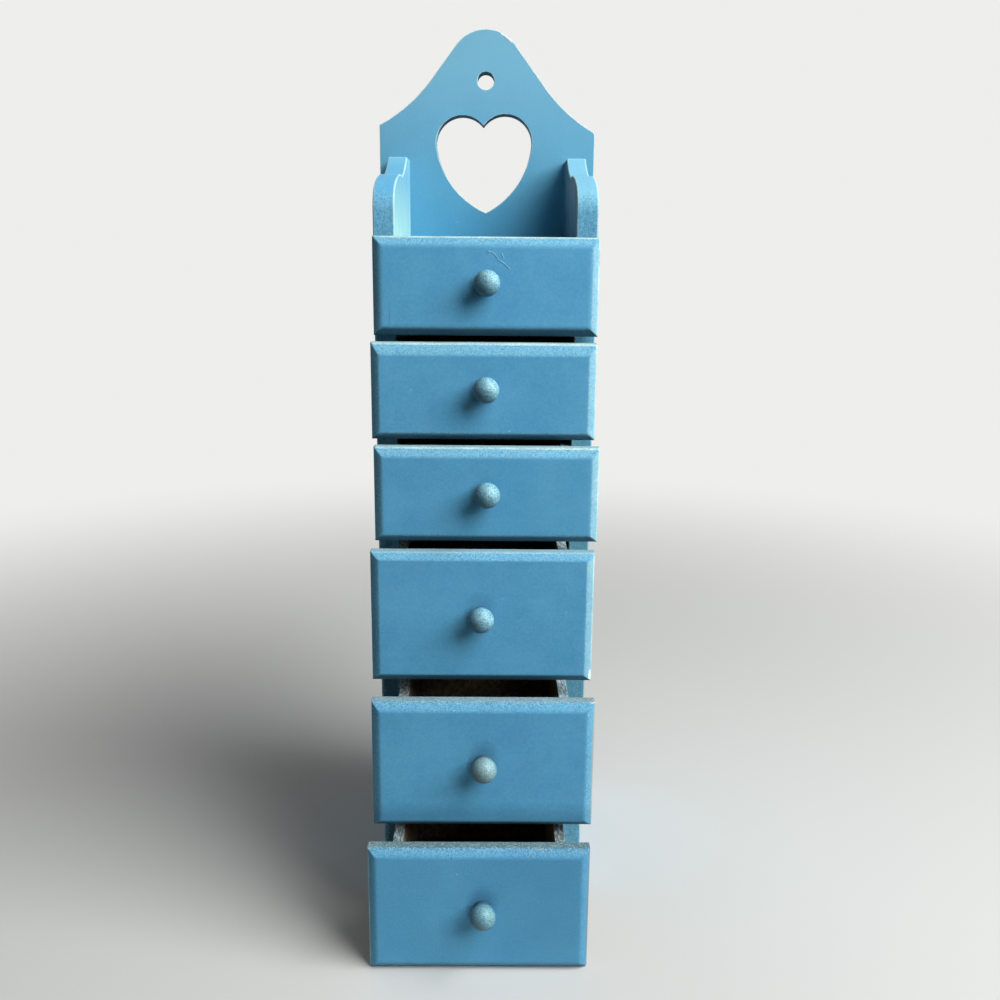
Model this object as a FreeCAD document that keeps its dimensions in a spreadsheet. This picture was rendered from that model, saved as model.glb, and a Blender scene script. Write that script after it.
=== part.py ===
import FreeCAD
import Part
import math
import os
import Sketcher

# Spice drawer cabinet: a narrow wooden case with six drawers, an open tray on top and a crowned
# back board with a heart and a hanging hole. The drawers stand part open.
# Frame: X to the right seen from the front, Y to the rear, Z up, origin on the table under the case.
# Units are millimetres. Drawer 1 is the top one.

DRAWERS = 6
SMALL_DRAWERS = (1, 2, 3)

DIMENSIONS = {
    # The case
    "case_width": 110.0,
    "side_depth": 102.0,
    "side_thickness": 10.6,
    "back_overhang": 6.6,
    "back_thickness": 12.0,
    "bottom_thickness": 6.0,
    "tray_floor_thickness": 4.0,
    "tray_floor_drop": 0.4,
    "divider_thickness": 3.2,
    "divider_setback": 12.0,
    "divider_housing": 3.0,
    # The shaped top of a side board
    "side_rise": 44.0,
    "side_flat": 20.5,
    "cove_drop": 12.7,
    "cove_radius": 75.0,
    "notch_step": 0.7,
    "shoulder_run": 46.0,
    "shoulder_crown_radius": 100.0,
    "shoulder_radius": 14.0,
    # The crown of the back board
    "apex_rise": 114.5,
    "left_shoulder_rise": 63.2,
    "right_shoulder_rise": 59.8,
    "crown_radius": 21.0,
    "crown_shift": 1.0,
    "crown_slope": 52.5,
    "flank_radius": 90.0,
    "hanging_hole_rise": 87.3,
    "hanging_hole_diameter": 9.4,
    # The heart
    "heart_tip_rise": 15.3,
    "heart_tip_shift": 0.6,
    "heart_length": 47.7,
    "heart_lean": 1.9,
    "lobe_offset": 12.2,
    "lobe_radius": 15.2,
    "heart_flank_radius": 47.2,
    # The drawer fronts
    "front_inset": 0.25,
    "front_height_small": 47.2,
    "front_height_large": 66.8,
    "front_slab": 5.5,
    "bevel_depth": 3.4,
    "bevel_width": 4.2,
    "bevel_top_1": 4.2,
    "bevel_top_2": 5.8,
    "bevel_top_3": 4.5,
    "bevel_top_4": 3.5,
    "bevel_top_5": 4.3,
    "bevel_top_6": 3.8,
    "front_toe_gap": 0.3,
    "front_lip": 2.0,
    "front_gap_1": 2.5,
    "front_gap_2": 1.9,
    "front_gap_3": 2.9,
    "front_gap_4": 4.7,
    "front_gap_5": 4.0,
    # The drawer boxes
    "box_play": 1.65,
    "box_lift": 0.3,
    "box_drop_small": 4.9,
    "box_drop_large": 3.9,
    "box_rear_gap": 5.0,
    "box_wall": 5.0,
    "box_housing": 2.0,
    "panel_thickness": 2.4,
    "panel_rise": 3.0,
    "panel_groove": 2.0,
    # The knobs
    "knob_diameter": 12.6,
    "knob_reach": 7.0,
    "knob_neck_diameter": 7.2,
    "knob_tenon_diameter": 5.0,
    "knob_tenon_fit": 0.1,
    "knob_tenon_cover": 1.2,
    "knob_rise": 2.0,
    # The panel pins
    "pin_diameter": 1.4,
    "pin_fit": 0.04,
    "pin_inset": 18.0,
    "case_pin_length": 22.0,
    "back_pin_length": 25.0,
    "back_pin_inset": 30.0,
    "box_pin_length": 14.0,
    "box_pin_inset": 9.0,
    # How far each drawer stands open, how far it sits off the middle, and its knob's own shift
    "open_1": 5.7,
    "open_2": 14.5,
    "open_3": 24.3,
    "open_4": 32.8,
    "open_5": 47.6,
    "open_6": 62.1,
    "aside_1": 0.4,
    "aside_2": -0.4,
    "aside_3": 1.3,
    "aside_4": -0.4,
    "aside_5": 0.4,
    "aside_6": -1.3,
    "knob_aside_1": 0.5,
    "knob_aside_2": 1.2,
    "knob_aside_3": 0.3,
    "knob_aside_4": -0.5,
    "knob_aside_5": 0.5,
    "knob_aside_6": 2.2,
}

BACK_PINS_PER_SIDE = 5

doc = FreeCAD.newDocument("spice_cabinet")
sheet = doc.addObject("Spreadsheet::Sheet", "dims")
for row, (alias, millimetres) in enumerate(DIMENSIONS.items(), start=1):
    sheet.set(f"A{row}", alias)
    sheet.set(f"B{row}", str(millimetres))
    sheet.setAlias(f"B{row}", alias)
doc.recompute()


def value(expression):
    """The present value of an expression, for the first guess of a sketch."""
    return float(sheet.evalExpression(expression))


# Expressions that several pieces share


def kind(drawer):
    return "small" if drawer in SMALL_DRAWERS else "large"


def front_height(drawer):
    return f"dims.front_height_{kind(drawer)}"


def box_height(drawer):
    """A box ends below the upper edge of its front."""
    return f"({front_height(drawer)} - dims.front_lip - dims.box_lift - dims.box_drop_{kind(drawer)})"


def front_low(drawer):
    """Height of a front's lower edge: the fronts are stacked from the table up."""
    if drawer == DRAWERS:
        return "dims.front_toe_gap"
    below = drawer + 1
    return f"({front_low(below)} + {front_height(below)} + dims.front_gap_{drawer})"


def floor_top(drawer):
    """Height of the board that a drawer slides on."""
    if drawer == DRAWERS:
        return "dims.bottom_thickness"
    return f"({front_low(drawer)} + dims.front_lip)"


def box_low(drawer):
    return f"({floor_top(drawer)} + dims.box_lift)"


FRONTS_TOP = f"({front_low(1)} + {front_height(1)})"
SIDE_HEIGHT = f"({FRONTS_TOP} + dims.side_rise)"
BACK_LEFT_HEIGHT = f"({FRONTS_TOP} + dims.left_shoulder_rise)"
BACK_RIGHT_HEIGHT = f"({FRONTS_TOP} + dims.right_shoulder_rise)"
APEX_HEIGHT = f"({FRONTS_TOP} + dims.apex_rise)"
TRAY_FLOOR_LOW = f"({FRONTS_TOP} - dims.tray_floor_drop - dims.tray_floor_thickness)"
CASE_FRONT = "(-(dims.side_depth + dims.back_thickness) / 2)"
BACK_WIDTH = "(dims.case_width + 2 * dims.back_overhang)"
FRONT_WIDTH = "(dims.case_width - 2 * dims.front_inset)"
BAY_WIDTH = "(dims.case_width - 2 * dims.side_thickness)"
BOX_DEPTH = "(dims.side_depth - dims.box_rear_gap)"
BOX_WIDTH = f"({BAY_WIDTH} - 2 * dims.box_play)"
PANEL_WIDTH = f"({BOX_WIDTH} - 2 * dims.box_wall + 2 * dims.panel_groove)"
PIN_HOLE = "(dims.pin_diameter + dims.pin_fit)"


# Sketching


def set_place(owner, prefix, place):
    for axis, expression in zip("xyz", place):
        if expression != "0":
            owner.setExpression(f"{prefix}.Base.{axis}", expression)


def new_body(label, place=("0", "0", "0")):
    body = doc.addObject("PartDesign::Body", label)
    body.Label = label
    set_place(body, "Placement", place)
    return body


def new_sketch(body, plane, place=("0", "0", "0")):
    """A sketch on one of the body's own planes, moved by an offset in the sketch's own axes."""
    sketch = body.newObject("Sketcher::SketchObject", "Sketch")
    origin_plane = [item for item in body.Origin.OriginFeatures if item.Role == plane][0]
    sketch.AttachmentSupport = (origin_plane, "")
    sketch.MapMode = "FlatFace"
    set_place(sketch, "AttachmentOffset", place)
    return sketch


def drive(sketch, constraint, expression):
    index = sketch.addConstraint(constraint)
    sketch.setExpression(f"Constraints[{index}]", expression)


def point(x, y):
    return FreeCAD.Vector(x, y, 0)


def add_line(sketch, start, end):
    return sketch.addGeometry(Part.LineSegment(point(*start), point(*end)), False)


def add_arc(sketch, centre, radius, first, last):
    circle = Part.Circle(point(*centre), FreeCAD.Vector(0, 0, 1), radius)
    return sketch.addGeometry(Part.ArcOfCircle(circle, first, last), False)


def join(sketch, first, first_end, second, second_end):
    sketch.addConstraint(Sketcher.Constraint("Coincident", first, first_end, second, second_end))


def join_smoothly(sketch, first, first_end, second, second_end):
    sketch.addConstraint(Sketcher.Constraint("Tangent", first, first_end, second, second_end))


def draw_rectangle(sketch, width, height, centred=False):
    """A rectangle that starts at the sketch's origin, or stands centred over it."""
    guess_width = 10.0
    guess_height = 8.0
    left = -guess_width / 2 if centred else 0.0
    corners = [(left, 0), (left + guess_width, 0), (left + guess_width, guess_height), (left, guess_height)]
    sides = [add_line(sketch, corners[i], corners[(i + 1) % 4]) for i in range(4)]
    for i in range(4):
        join(sketch, sides[i], 2, sides[(i + 1) % 4], 1)
    for i in (0, 2):
        sketch.addConstraint(Sketcher.Constraint("Horizontal", sides[i]))
    for i in (1, 3):
        sketch.addConstraint(Sketcher.Constraint("Vertical", sides[i]))
    if centred:
        sketch.addConstraint(Sketcher.Constraint("Symmetric", sides[0], 1, sides[0], 2, -1, 1))
    else:
        join(sketch, sides[0], 1, -1, 1)
    drive(sketch, Sketcher.Constraint("Distance", sides[0], guess_width), width)
    drive(sketch, Sketcher.Constraint("Distance", sides[1], guess_height), height)


def draw_spots(sketch, spots, diameter):
    """Round holes at the given spots, to the right of the sketch's origin and above it."""
    for across, up in spots:
        guess = point(value(across), value(up))
        index = sketch.addGeometry(Part.Circle(guess, FreeCAD.Vector(0, 0, 1), value(diameter) / 2), False)
        for distance, axis, place, start in (
            ("DistanceX", -2, across, guess.x),
            ("DistanceY", -1, up, guess.y),
        ):
            if place == "0":
                sketch.addConstraint(Sketcher.Constraint("PointOnObject", index, 3, axis))
            else:
                drive(sketch, Sketcher.Constraint(distance, -1, 1, index, 3, start), place)
        drive(sketch, Sketcher.Constraint("Diameter", index, value(diameter)), diameter)


def pad(body, sketch, length, reverse=False):
    feature = body.newObject("PartDesign::Pad", "Pad")
    feature.Profile = sketch
    feature.Reversed = reverse
    feature.setExpression("Length", length)
    body.Tip = feature
    return feature


def pocket(body, sketch, depth, reverse=False):
    """A pocket cuts against its sketch's normal, or along it when reversed."""
    doc.recompute()
    before = body.Shape.Volume
    feature = body.newObject("PartDesign::Pocket", "Pocket")
    feature.Profile = sketch
    feature.Reversed = reverse
    feature.setExpression("Length", depth)
    body.Tip = feature
    doc.recompute()
    if body.Shape.Volume >= before:
        raise ValueError(f"{body.Label}: a pocket cuts nothing")
    return feature


def board(label, sizes, place):
    """A plain board from its lower left front corner: width along X, depth along Y, height along Z."""
    body = new_body(label, place)
    outline = new_sketch(body, "XY_Plane")
    draw_rectangle(outline, sizes[0], sizes[1])
    pad(body, outline, sizes[2])
    return body


def drill(body, plane, place, spots, depth, reverse=False, diameter=PIN_HOLE):
    """Round holes of one depth from the given plane."""
    sketch = new_sketch(body, plane, place)
    draw_spots(sketch, spots, diameter)
    pocket(body, sketch, depth, reverse)


def cut_rectangle(body, plane, place, sizes, depth, reverse=False):
    """A rectangular recess whose lower left corner lies at the given place of a plane."""
    sketch = new_sketch(body, plane, place)
    draw_rectangle(sketch, sizes[0], sizes[1])
    pocket(body, sketch, depth, reverse)


# Panel pins: the same expressions place each pin and the holes that it sits in

TO_RIGHT = (1, 0, 0)
TO_LEFT = (-1, 0, 0)
TO_FRONT = (0, -1, 0)

CASE_PIN_DEPTHS = ("dims.pin_inset", "(dims.side_depth - dims.pin_inset)")
CASE_PIN_HEIGHTS = (
    "(dims.bottom_thickness / 2)",
    f"({TRAY_FLOOR_LOW} + dims.tray_floor_thickness / 2)",
)
BACK_PIN_STEP = f"(({SIDE_HEIGHT} - 2 * dims.back_pin_inset) / {BACK_PINS_PER_SIDE - 1})"
BACK_PIN_HEIGHTS = [f"(dims.back_pin_inset + {step} * {BACK_PIN_STEP})" for step in range(BACK_PINS_PER_SIDE)]


def box_pin_heights(drawer):
    """Heights of the pins of one drawer box, from the lower edge of its sides."""
    return ("dims.box_pin_inset", f"({box_height(drawer)} - dims.box_pin_inset)")


def pin(direction, place, length):
    """One plain round pin from its head: direction is the way that its point looks."""
    solid = doc.addObject("Part::Cylinder", "Pin")
    solid.setExpression("Radius", "dims.pin_diameter / 2")
    solid.setExpression("Height", length)
    solid.Placement.Rotation = FreeCAD.Rotation(FreeCAD.Vector(0, 0, 1), FreeCAD.Vector(*direction))
    set_place(solid, "Placement", place)
    return solid


def pin_group(label, pins):
    group = doc.addObject("Part::MultiFuse", label)
    group.Label = label
    group.Shapes = pins
    return group


# The back board


def crown_guess():
    """First guess of the crown in closed form: its centre, and for each side the spots where it
    turns into the straight flank, where the flank turns hollow, the hollow's centre and the shoulder."""
    slope = math.radians(value("dims.crown_slope"))
    convex = value("dims.crown_radius")
    hollow = value("dims.flank_radius")
    centre = (-value("dims.crown_shift"), value(APEX_HEIGHT) - convex)
    sides = []
    for sign, height in ((1, BACK_RIGHT_HEIGHT), (-1, BACK_LEFT_HEIGHT)):
        shoulder = (sign * value(f"{BACK_WIDTH} / 2"), value(height))
        outward = (sign * math.sin(slope), math.cos(slope))
        downhill = (sign * math.cos(slope), -math.sin(slope))
        leave = (centre[0] + convex * outward[0], centre[1] + convex * outward[1])
        offset = (leave[0] + hollow * outward[0] - shoulder[0], leave[1] + hollow * outward[1] - shoulder[1])
        half_b = offset[0] * downhill[0] + offset[1] * downhill[1]
        rest = offset[0] ** 2 + offset[1] ** 2 - hollow ** 2
        run = -half_b - math.sqrt(max(half_b ** 2 - rest, 0.0))
        arrive = (leave[0] + run * downhill[0], leave[1] + run * downhill[1])
        middle = (arrive[0] + hollow * outward[0], arrive[1] + hollow * outward[1])
        sides.append((leave, arrive, middle, shoulder))
    return centre, sides


def angle_of(centre, spot):
    return math.atan2(spot[1] - centre[1], spot[0] - centre[0])


def arc_through(sketch, centre, first, last):
    """An arc about a centre, anticlockwise from its first spot to its last."""
    radius = math.hypot(first[0] - centre[0], first[1] - centre[1])
    start = angle_of(centre, first)
    end = angle_of(centre, last)
    if end < start:
        end += 2 * math.pi
    return add_arc(sketch, centre, radius, start, end)


CROWN_SLOPE = "dims.crown_slope * 1 deg"


def draw_crowned_outline(sketch):
    centre, sides = crown_guess()
    right_leave, right_arrive, right_middle, right_shoulder = sides[0]
    left_leave, left_arrive, left_middle, left_shoulder = sides[1]
    half = right_shoulder[0]
    base = add_line(sketch, (-half, 0), (half, 0))
    right_edge = add_line(sketch, (half, 0), right_shoulder)
    right_hollow = arc_through(sketch, right_middle, right_arrive, right_shoulder)
    right_flank = add_line(sketch, right_arrive, right_leave)
    crown = arc_through(sketch, centre, right_leave, left_leave)
    left_flank = add_line(sketch, left_arrive, left_leave)
    left_hollow = arc_through(sketch, left_middle, left_shoulder, left_arrive)
    left_edge = add_line(sketch, left_shoulder, (-half, 0))
    join(sketch, base, 2, right_edge, 1)
    join(sketch, right_edge, 2, right_hollow, 2)
    join_smoothly(sketch, right_hollow, 1, right_flank, 1)
    join_smoothly(sketch, right_flank, 2, crown, 1)
    join_smoothly(sketch, crown, 2, left_flank, 2)
    join_smoothly(sketch, left_flank, 1, left_hollow, 2)
    join(sketch, left_hollow, 1, left_edge, 1)
    join(sketch, left_edge, 2, base, 1)
    sketch.addConstraint(Sketcher.Constraint("Horizontal", base))
    sketch.addConstraint(Sketcher.Constraint("Vertical", right_edge))
    sketch.addConstraint(Sketcher.Constraint("Vertical", left_edge))
    sketch.addConstraint(Sketcher.Constraint("Symmetric", base, 1, base, 2, -1, 1))
    drive(sketch, Sketcher.Constraint("Distance", base, 2 * half), BACK_WIDTH)
    drive(sketch, Sketcher.Constraint("Distance", right_edge, right_shoulder[1]), BACK_RIGHT_HEIGHT)
    drive(sketch, Sketcher.Constraint("Distance", left_edge, left_shoulder[1]), BACK_LEFT_HEIGHT)
    drive(sketch, Sketcher.Constraint("DistanceX", crown, 3, -1, 1, -centre[0]), "dims.crown_shift")
    crown_centre_height = f"{APEX_HEIGHT} - dims.crown_radius"
    drive(sketch, Sketcher.Constraint("DistanceY", -1, 1, crown, 3, centre[1]), crown_centre_height)
    drive(sketch, Sketcher.Constraint("Radius", crown, value("dims.crown_radius")), "dims.crown_radius")
    for hollow in (right_hollow, left_hollow):
        drive(sketch, Sketcher.Constraint("Radius", hollow, value("dims.flank_radius")), "dims.flank_radius")
    slope = math.radians(value("dims.crown_slope"))
    drive(sketch, Sketcher.Constraint("Angle", left_flank, slope), CROWN_SLOPE)
    drive(sketch, Sketcher.Constraint("Angle", right_flank, math.pi - slope), f"180 deg - {CROWN_SLOPE}")


def draw_heart(sketch):
    """A heart that stands on its tip at the sketch's origin: a flank and a lobe on each side."""
    length = value("dims.heart_length")
    offset = value("dims.lobe_offset")
    lobe = value("dims.lobe_radius")
    flank = value("dims.heart_flank_radius")
    lobe_height = length - math.sqrt(lobe ** 2 - offset ** 2)
    reach = math.hypot(offset, lobe_height)
    turn = math.acos((reach ** 2 + flank ** 2 - (flank - lobe) ** 2) / (2 * reach * flank))
    flank_way = math.atan2(lobe_height, offset) + turn
    flank_centre = (flank * math.cos(flank_way), flank * math.sin(flank_way))
    lobe_way = angle_of(flank_centre, (offset, lobe_height))
    meet = (flank_centre[0] + flank * math.cos(lobe_way), flank_centre[1] + flank * math.sin(lobe_way))
    left_meet = (-meet[0], meet[1])
    tip = (0.0, 0.0)
    cleft = (0.0, length)
    right_flank = arc_through(sketch, flank_centre, tip, meet)
    right_lobe = arc_through(sketch, (offset, lobe_height), meet, cleft)
    left_lobe = arc_through(sketch, (-offset, lobe_height), cleft, left_meet)
    left_flank = arc_through(sketch, (-flank_centre[0], flank_centre[1]), left_meet, tip)
    join(sketch, right_flank, 1, -1, 1)
    join_smoothly(sketch, right_flank, 2, right_lobe, 1)
    join(sketch, right_lobe, 2, left_lobe, 1)
    join_smoothly(sketch, left_lobe, 2, left_flank, 1)
    join(sketch, left_flank, 2, -1, 1)
    sketch.addConstraint(Sketcher.Constraint("PointOnObject", right_lobe, 2, -2))
    drive(sketch, Sketcher.Constraint("DistanceY", -1, 1, right_lobe, 2, length), "dims.heart_length")
    for arc in (right_flank, left_flank):
        drive(sketch, Sketcher.Constraint("Radius", arc, flank), "dims.heart_flank_radius")
    for arc in (right_lobe, left_lobe):
        drive(sketch, Sketcher.Constraint("Radius", arc, lobe), "dims.lobe_radius")
    drive(sketch, Sketcher.Constraint("DistanceX", -1, 1, right_lobe, 3, offset), "dims.lobe_offset")
    drive(sketch, Sketcher.Constraint("DistanceX", left_lobe, 3, -1, 1, offset), "dims.lobe_offset")


def back_pin_line(sign):
    """Where the pins of the back board stand across the case: the middle of a side's edge."""
    return f"({sign} * (dims.case_width - dims.side_thickness) / 2)"


def make_back_board():
    body = new_body("back_board", ("0", f"{CASE_FRONT} + dims.side_depth", "0"))
    outline = new_sketch(body, "XZ_Plane")
    draw_crowned_outline(outline)
    pad(body, outline, "dims.back_thickness", reverse=True)
    tip = ("-dims.heart_tip_shift", f"{FRONTS_TOP} + dims.heart_tip_rise", "0")
    heart = new_sketch(body, "XZ_Plane", tip)
    heart.setExpression("AttachmentOffset.Rotation.Angle", "dims.heart_lean * 1 deg")
    draw_heart(heart)
    pocket(body, heart, "dims.back_thickness")
    hole_height = f"({FRONTS_TOP} + dims.hanging_hole_rise)"
    drill(body, "XZ_Plane", ("-dims.crown_shift", "0", "0"), [("0", hole_height)],
          "dims.back_thickness", diameter="dims.hanging_hole_diameter")
    for sign in (-1, 1):
        spots = [("0", height) for height in BACK_PIN_HEIGHTS]
        drill(body, "XZ_Plane", (back_pin_line(sign), "0", "0"), spots, "dims.back_thickness")


def make_back_brads():
    rear = f"{CASE_FRONT} + dims.side_depth + dims.back_thickness"
    pins = []
    for sign in (-1, 1):
        for height in BACK_PIN_HEIGHTS:
            pins.append(pin(TO_FRONT, (back_pin_line(sign), rear, height), "dims.back_pin_length"))
    pin_group("back_brads", pins)


# The sides


def draw_side_outline(sketch):
    """Profile of a side from its lower front corner: depth across, height up."""
    depth = value("dims.side_depth")
    height = value(SIDE_HEIGHT)
    run = value("dims.shoulder_run")
    flat_front = depth - value("dims.side_flat")
    cove_low = height - value("dims.cove_drop")
    cove = value("dims.cove_radius")
    broad = value("dims.shoulder_crown_radius")
    tight = value("dims.shoulder_radius")
    chord = (flat_front - run, height - cove_low)
    chord_length = math.hypot(*chord)
    lift = math.sqrt(cove ** 2 - (chord_length / 2) ** 2) / chord_length
    cove_centre = ((run + flat_front) / 2 - chord[1] * lift, (cove_low + height) / 2 + chord[0] * lift)
    shoulder_top = (run, cove_low + value("dims.notch_step"))
    broad_centre = (run, shoulder_top[1] - broad)
    swing = math.asin((run - tight) / (broad - tight))
    tight_centre = (tight, broad_centre[1] + (broad - tight) * math.cos(swing))
    meet = (run - broad * math.sin(swing), broad_centre[1] + broad * math.cos(swing))
    bottom = add_line(sketch, (0, 0), (depth, 0))
    rear = add_line(sketch, (depth, 0), (depth, height))
    flat = add_line(sketch, (depth, height), (flat_front, height))
    hollow = arc_through(sketch, cove_centre, (run, cove_low), (flat_front, height))
    notch = add_line(sketch, (run, cove_low), shoulder_top)
    broad_arc = arc_through(sketch, broad_centre, shoulder_top, meet)
    tight_arc = arc_through(sketch, tight_centre, meet, (0, tight_centre[1]))
    front = add_line(sketch, (0, tight_centre[1]), (0, 0))
    join(sketch, bottom, 1, -1, 1)
    join(sketch, bottom, 2, rear, 1)
    join(sketch, rear, 2, flat, 1)
    join(sketch, flat, 2, hollow, 2)
    join(sketch, hollow, 1, notch, 1)
    join(sketch, notch, 2, broad_arc, 1)
    join_smoothly(sketch, broad_arc, 2, tight_arc, 1)
    join_smoothly(sketch, tight_arc, 2, front, 1)
    join(sketch, front, 2, bottom, 1)
    for level in (bottom, flat):
        sketch.addConstraint(Sketcher.Constraint("Horizontal", level))
    for upright in (rear, notch, front):
        sketch.addConstraint(Sketcher.Constraint("Vertical", upright))
    sketch.addConstraint(Sketcher.Constraint("Vertical", broad_arc, 1, broad_arc, 3))
    drive(sketch, Sketcher.Constraint("Distance", bottom, depth), "dims.side_depth")
    drive(sketch, Sketcher.Constraint("Distance", rear, height), SIDE_HEIGHT)
    drive(sketch, Sketcher.Constraint("Distance", flat, depth - flat_front), "dims.side_flat")
    drive(sketch, Sketcher.Constraint("Radius", hollow, cove), "dims.cove_radius")
    drive(sketch, Sketcher.Constraint("DistanceX", -1, 1, hollow, 1, run), "dims.shoulder_run")
    drive(sketch, Sketcher.Constraint("DistanceY", hollow, 1, rear, 2, chord[1]), "dims.cove_drop")
    drive(sketch, Sketcher.Constraint("Distance", notch, shoulder_top[1] - cove_low), "dims.notch_step")
    drive(sketch, Sketcher.Constraint("Radius", broad_arc, broad), "dims.shoulder_crown_radius")
    drive(sketch, Sketcher.Constraint("Radius", tight_arc, tight), "dims.shoulder_radius")


def make_side(label, left, inner_face, outward):
    """A side board: left is its left face, and its inner face is where the housings are cut."""
    body = new_body(label, (left, CASE_FRONT, "0"))
    outline = new_sketch(body, "YZ_Plane")
    draw_side_outline(outline)
    pad(body, outline, "dims.side_thickness")
    for divider in range(1, DRAWERS):
        low = f"({floor_top(divider)} - dims.divider_thickness)"
        run = "(dims.side_depth - dims.divider_setback)"
        cut_rectangle(body, "YZ_Plane", ("dims.divider_setback", low, inner_face),
                      (run, "dims.divider_thickness"), "dims.divider_housing", reverse=outward)
    spots = [(depth, height) for depth in CASE_PIN_DEPTHS for height in CASE_PIN_HEIGHTS]
    drill(body, "YZ_Plane", ("0", "0", "0"), spots, "dims.side_thickness", reverse=True)
    rear_spots = [("0", height) for height in BACK_PIN_HEIGHTS]
    drill(body, "XZ_Plane", ("dims.side_thickness / 2", "0", "-dims.side_depth"), rear_spots,
          "dims.back_pin_length - dims.back_thickness", reverse=True)


def make_side_brads():
    pins = []
    for sign, direction in ((-1, TO_RIGHT), (1, TO_LEFT)):
        for depth in CASE_PIN_DEPTHS:
            for height in CASE_PIN_HEIGHTS:
                place = (f"{sign} * dims.case_width / 2", f"{CASE_FRONT} + {depth}", height)
                pins.append(pin(direction, place, "dims.case_pin_length"))
    pin_group("side_brads", pins)


# The boards between the sides


def make_pinned_board(label, low, thickness):
    """A board that fits between the sides and is held by pins in its ends."""
    body = board(label, (BAY_WIDTH, "dims.side_depth", thickness), (f"-{BAY_WIDTH} / 2", CASE_FRONT, low))
    spots = [(depth, f"({thickness} / 2)") for depth in CASE_PIN_DEPTHS]
    depth = "dims.case_pin_length - dims.side_thickness"
    drill(body, "YZ_Plane", ("0", "0", "0"), spots, depth, reverse=True)
    drill(body, "YZ_Plane", ("0", "0", BAY_WIDTH), spots, depth)


def make_divider(divider):
    """A thin shelf between two drawers, let into both sides and set back from the front."""
    width = f"({BAY_WIDTH} + 2 * dims.divider_housing)"
    length = "dims.side_depth - dims.divider_setback"
    low = f"{floor_top(divider)} - dims.divider_thickness"
    place = (f"-{width} / 2", f"{CASE_FRONT} + dims.divider_setback", low)
    board(f"divider_{divider}", (width, length, "dims.divider_thickness"), place)


# The drawers


def drawer_x(drawer):
    return f"dims.aside_{drawer}"


def drawer_y(drawer):
    """The rear face of a drawer's front."""
    return f"({CASE_FRONT} - dims.open_{drawer})"


def bevel_top(drawer):
    """The bevel along a front's upper edge, which the hand-guided cut left wider or narrower."""
    return f"dims.bevel_top_{drawer}"


def knob_height(drawer):
    """Height of a knob's middle above its front's lower edge."""
    return f"({front_height(drawer)} / 2 + dims.knob_rise)"


FRONT_THICKNESS = "(dims.front_slab + dims.bevel_depth)"
TENON_LENGTH = f"({FRONT_THICKNESS} - dims.knob_tenon_cover)"


def make_front(drawer):
    body = new_body(f"drawer_{drawer}_front", (drawer_x(drawer), drawer_y(drawer), front_low(drawer)))
    outline = new_sketch(body, "XZ_Plane")
    draw_rectangle(outline, FRONT_WIDTH, front_height(drawer), centred=True)
    pad(body, outline, "dims.front_slab")
    rim = new_sketch(body, "XZ_Plane", ("0", "0", "dims.front_slab"))
    draw_rectangle(rim, FRONT_WIDTH, front_height(drawer), centred=True)
    face = new_sketch(body, "XZ_Plane", ("0", "dims.bevel_width", FRONT_THICKNESS))
    draw_rectangle(face, f"{FRONT_WIDTH} - 2 * dims.bevel_width",
                   f"{front_height(drawer)} - dims.bevel_width - {bevel_top(drawer)}", centred=True)
    doc.recompute()
    bevel = body.newObject("PartDesign::AdditiveLoft", "Bevel")
    bevel.Profile = rim
    bevel.Sections = [face]
    bevel.Ruled = True
    body.Tip = bevel
    box_foot = f"({box_low(drawer)} - {front_low(drawer)})"
    for left in (f"-{BOX_WIDTH} / 2", f"{BOX_WIDTH} / 2 - dims.box_wall"):
        cut_rectangle(body, "XZ_Plane", (left, box_foot, "0"), ("dims.box_wall", box_height(drawer)),
                      "dims.box_housing", reverse=True)
    panel_corner = (f"-{BOX_WIDTH} / 2 + dims.box_wall", f"{box_foot} + dims.panel_rise", "0")
    panel_sizes = (f"{BOX_WIDTH} - 2 * dims.box_wall", "dims.panel_thickness")
    cut_rectangle(body, "XZ_Plane", panel_corner, panel_sizes, "dims.box_housing", reverse=True)
    knob_line = (f"dims.knob_aside_{drawer}", "0", FRONT_THICKNESS)
    drill(body, "XZ_Plane", knob_line, [("0", knob_height(drawer))], TENON_LENGTH,
          diameter="(dims.knob_tenon_diameter + dims.knob_tenon_fit)")


def make_box_side(drawer, label, left, inner_face, outward):
    place = (f"{drawer_x(drawer)} + {left}", f"{drawer_y(drawer)} - dims.box_housing", box_low(drawer))
    length = f"({BOX_DEPTH} + dims.box_housing)"
    body = board(label, ("dims.box_wall", length, box_height(drawer)), place)
    cut_rectangle(body, "YZ_Plane", ("0", "dims.panel_rise", inner_face), (length, "dims.panel_thickness"),
                  "dims.panel_groove", reverse=outward)
    spots = [(f"({length} - dims.box_wall / 2)", height) for height in box_pin_heights(drawer)]
    drill(body, "YZ_Plane", ("0", "0", "0"), spots, "dims.box_wall", reverse=True)


def make_box_back(drawer):
    foot = "(dims.panel_rise + dims.panel_thickness)"
    width = f"({BOX_WIDTH} - 2 * dims.box_wall)"
    place = (
        f"{drawer_x(drawer)} - {width} / 2",
        f"{drawer_y(drawer)} + {BOX_DEPTH} - dims.box_wall",
        f"{box_low(drawer)} + {foot}",
    )
    body = board(f"drawer_{drawer}_back", (width, "dims.box_wall", f"{box_height(drawer)} - {foot}"), place)
    spots = [("(dims.box_wall / 2)", f"({height} - {foot})") for height in box_pin_heights(drawer)]
    depth = "dims.box_pin_length - dims.box_wall"
    drill(body, "YZ_Plane", ("0", "0", "0"), spots, depth, reverse=True)
    drill(body, "YZ_Plane", ("0", "0", width), spots, depth)


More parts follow.
